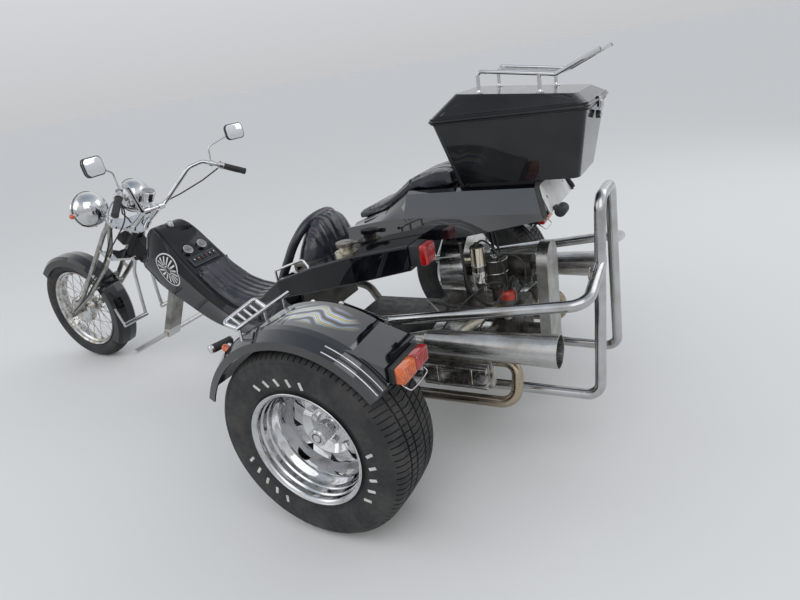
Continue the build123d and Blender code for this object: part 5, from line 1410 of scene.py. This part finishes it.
# %% Cylinder tins, and the manifold's arms that bend down to the heads
pale_tin = finish("pale tin", ((0.66, 0.68, 0.69), (0.46, 0.45, 0.42)), (0.12, 0.3), patch=(16, 0.42, 0.7),
    bump=(120, 0.9, 0.06), metal=1.0)
cream_alloy = finish("cream alloy", ((0.58, 0.54, 0.45), (0.36, 0.31, 0.24)), (0.28, 0.5),
    patch=(30, 0.4, 0.66), bump=(240, 0.6, 0.2), metal=0.7)
tin_way = Vector((0, 0.18, -0.024)).normalized()
tin_frame = axes(ax(-0.292, 0.24, 0.458), AHEAD, tin_way, Vector(AHEAD).cross(tin_way))
tins = [
    slab((-0.128, -0.098, -0.001), (0.132, 0.086, 0.001), pale_tin, 0.0008, 2, turn=tin_frame),
    slab((-0.128, 0.084, -0.018), (0.132, 0.086, 0.001), pale_tin, 0.0008, 2, turn=tin_frame),
    slab((-0.004, -0.096, 0.0008), (0.004, 0.082, 0.004), pale_tin, 0.0012, 2, turn=tin_frame),
]
for x in (-0.364, -0.236):
    tins.append(ring(ax(x, 0.3, 0.452), (0, 0.13, 1), 0.015, 0.0028, rubber, 28, 8))
arm_line = [ax(-0.385, 0.05, 0.53), ax(-0.382, 0.1, 0.516), ax(-0.365, 0.165, 0.506),
    ax(-0.335, 0.225, 0.5), ax(-0.31, 0.268, 0.494), ax(-0.301, 0.29, 0.476), ax(-0.3, 0.296, 0.442)]
tins.append(lead(arm_line, 0.0165, cream_alloy))
tins.append(ring(ax(-0.374, 0.133, 0.51), (0.3, 1, -0.15), 0.0172, 0.0022, dull_steel, 32, 8))
tins.append(slab(ax(-0.33, 0.274, 0.43), ax(-0.27, 0.318, 0.45), cream_alloy, 0.004))
finished("cylinder_tins", both_sides(tins), "chassis")

# %% Rocker covers: rim, two pressed bands and a wire bail; nuts on the heads
covers = [slab(ax(-0.424, 0.3345, 0.302), ax(-0.176, 0.34, 0.402), dull_steel, 0.002)]
for x in (-0.366, -0.234):
    covers.append(slab(ax(x - 0.004, 0.37, 0.314), ax(x + 0.004, 0.3736, 0.392), aged_chrome, 0.0016, 3))
covers.append(lead([ax(-0.428, 0.326, 0.358), ax(-0.434, 0.352, 0.352), ax(-0.431, 0.374, 0.338),
    ax(-0.405, 0.3785, 0.328), ax(-0.3, 0.379, 0.322), ax(-0.195, 0.3785, 0.328), ax(-0.169, 0.374, 0.338),
    ax(-0.166, 0.352, 0.352), ax(-0.172, 0.326, 0.358)], 0.003, dull_steel))
for x in (-0.214, -0.342):
    covers.append(turned(ax(x, 0.29, 0.4302), UP, [(0, 0.012), (0.004, 0.012), (0.005, 0.008)], dull_steel,
        6))
finished("rocker_details", both_sides(covers), "chassis")

# %% Weld beads and clamps where tubes meet
weld = finish("weld bead", ((0.5, 0.48, 0.44), (0.26, 0.22, 0.17)), (0.3, 0.5), patch=(90, 0.4, 0.6),
    bump=(500, 0.4, 0.5), metal=1.0)
# Columns: place, axis, radius
BEADS = [((-0.7515, 0.206, 0.698), AHEAD, 0.0192), ((-0.022, 0.206, 0.24), (-1, -0.02, 0), 0.02),
    ((0.0, 0.351, 0.528), UP, 0.017), ((0.0, 0.351, 0.38), UP, 0.0172),
    ((-0.06, 0.352, 0.556), (0, 0.72, 0.54), 0.0122), ((0.05, 0.352, 0.544), (0, 0.72, 0.54), 0.0122),
    ((1.612, 0.043, 0.212), (0, 1, 0), 0.015)]
beads = []
for place, way, r in BEADS:
    middle = ax(*place)
    bead = ring(middle, way, r, 0.0026, weld, 48, 8)
    for vert in bead.data.vertices:
        offset = vert.co - middle
        vert.co = middle + offset * (1 + 0.035 * sin(20 * offset.angle(Vector((0.31, 0.52, 0.79)))))
    beads.append(bead)
for t in (0.0, 1.0):
    beads.append(ring(ax(-0.231 - 0.002 * t, 0.396, 0.504), (1, -0.08, 0.04), 0.042 + 0.0004 * t, 0.0018,
        weld, 48, 8))
beads.append(ring(ax(-0.6895, 0.396, 0.508), AHEAD, 0.0535, 0.0013, exhaust_steel, 64, 8))
finished("weld_beads", both_sides(beads), "chassis")

# %% Header flanges at the ports and the clamp before the megaphone
x, y, z = -0.432, 0.312, 0.404
flanges = [
    slab(ax(x - 0.003, y - 0.03, z - 0.022), ax(x + 0.003, y + 0.03, z + 0.022), dull_steel, 0.002),
]
for dy in (-0.023, 0.023):
    flanges.append(turned(ax(x - 0.002, y + dy, z), BACK_WAY,
        [(0, 0.0065), (0.006, 0.0065), (0.0065, 0.0036), (0.012, 0.0034)], dull_steel, 6))
flanges.append(ring(ax(-0.15, 0.389, 0.5045), (1, -0.1, 0.4), 0.0222, 0.003, dull_steel, 40, 8))
finished("header_flanges", both_sides(flanges), "chassis")
print("engine dressed")
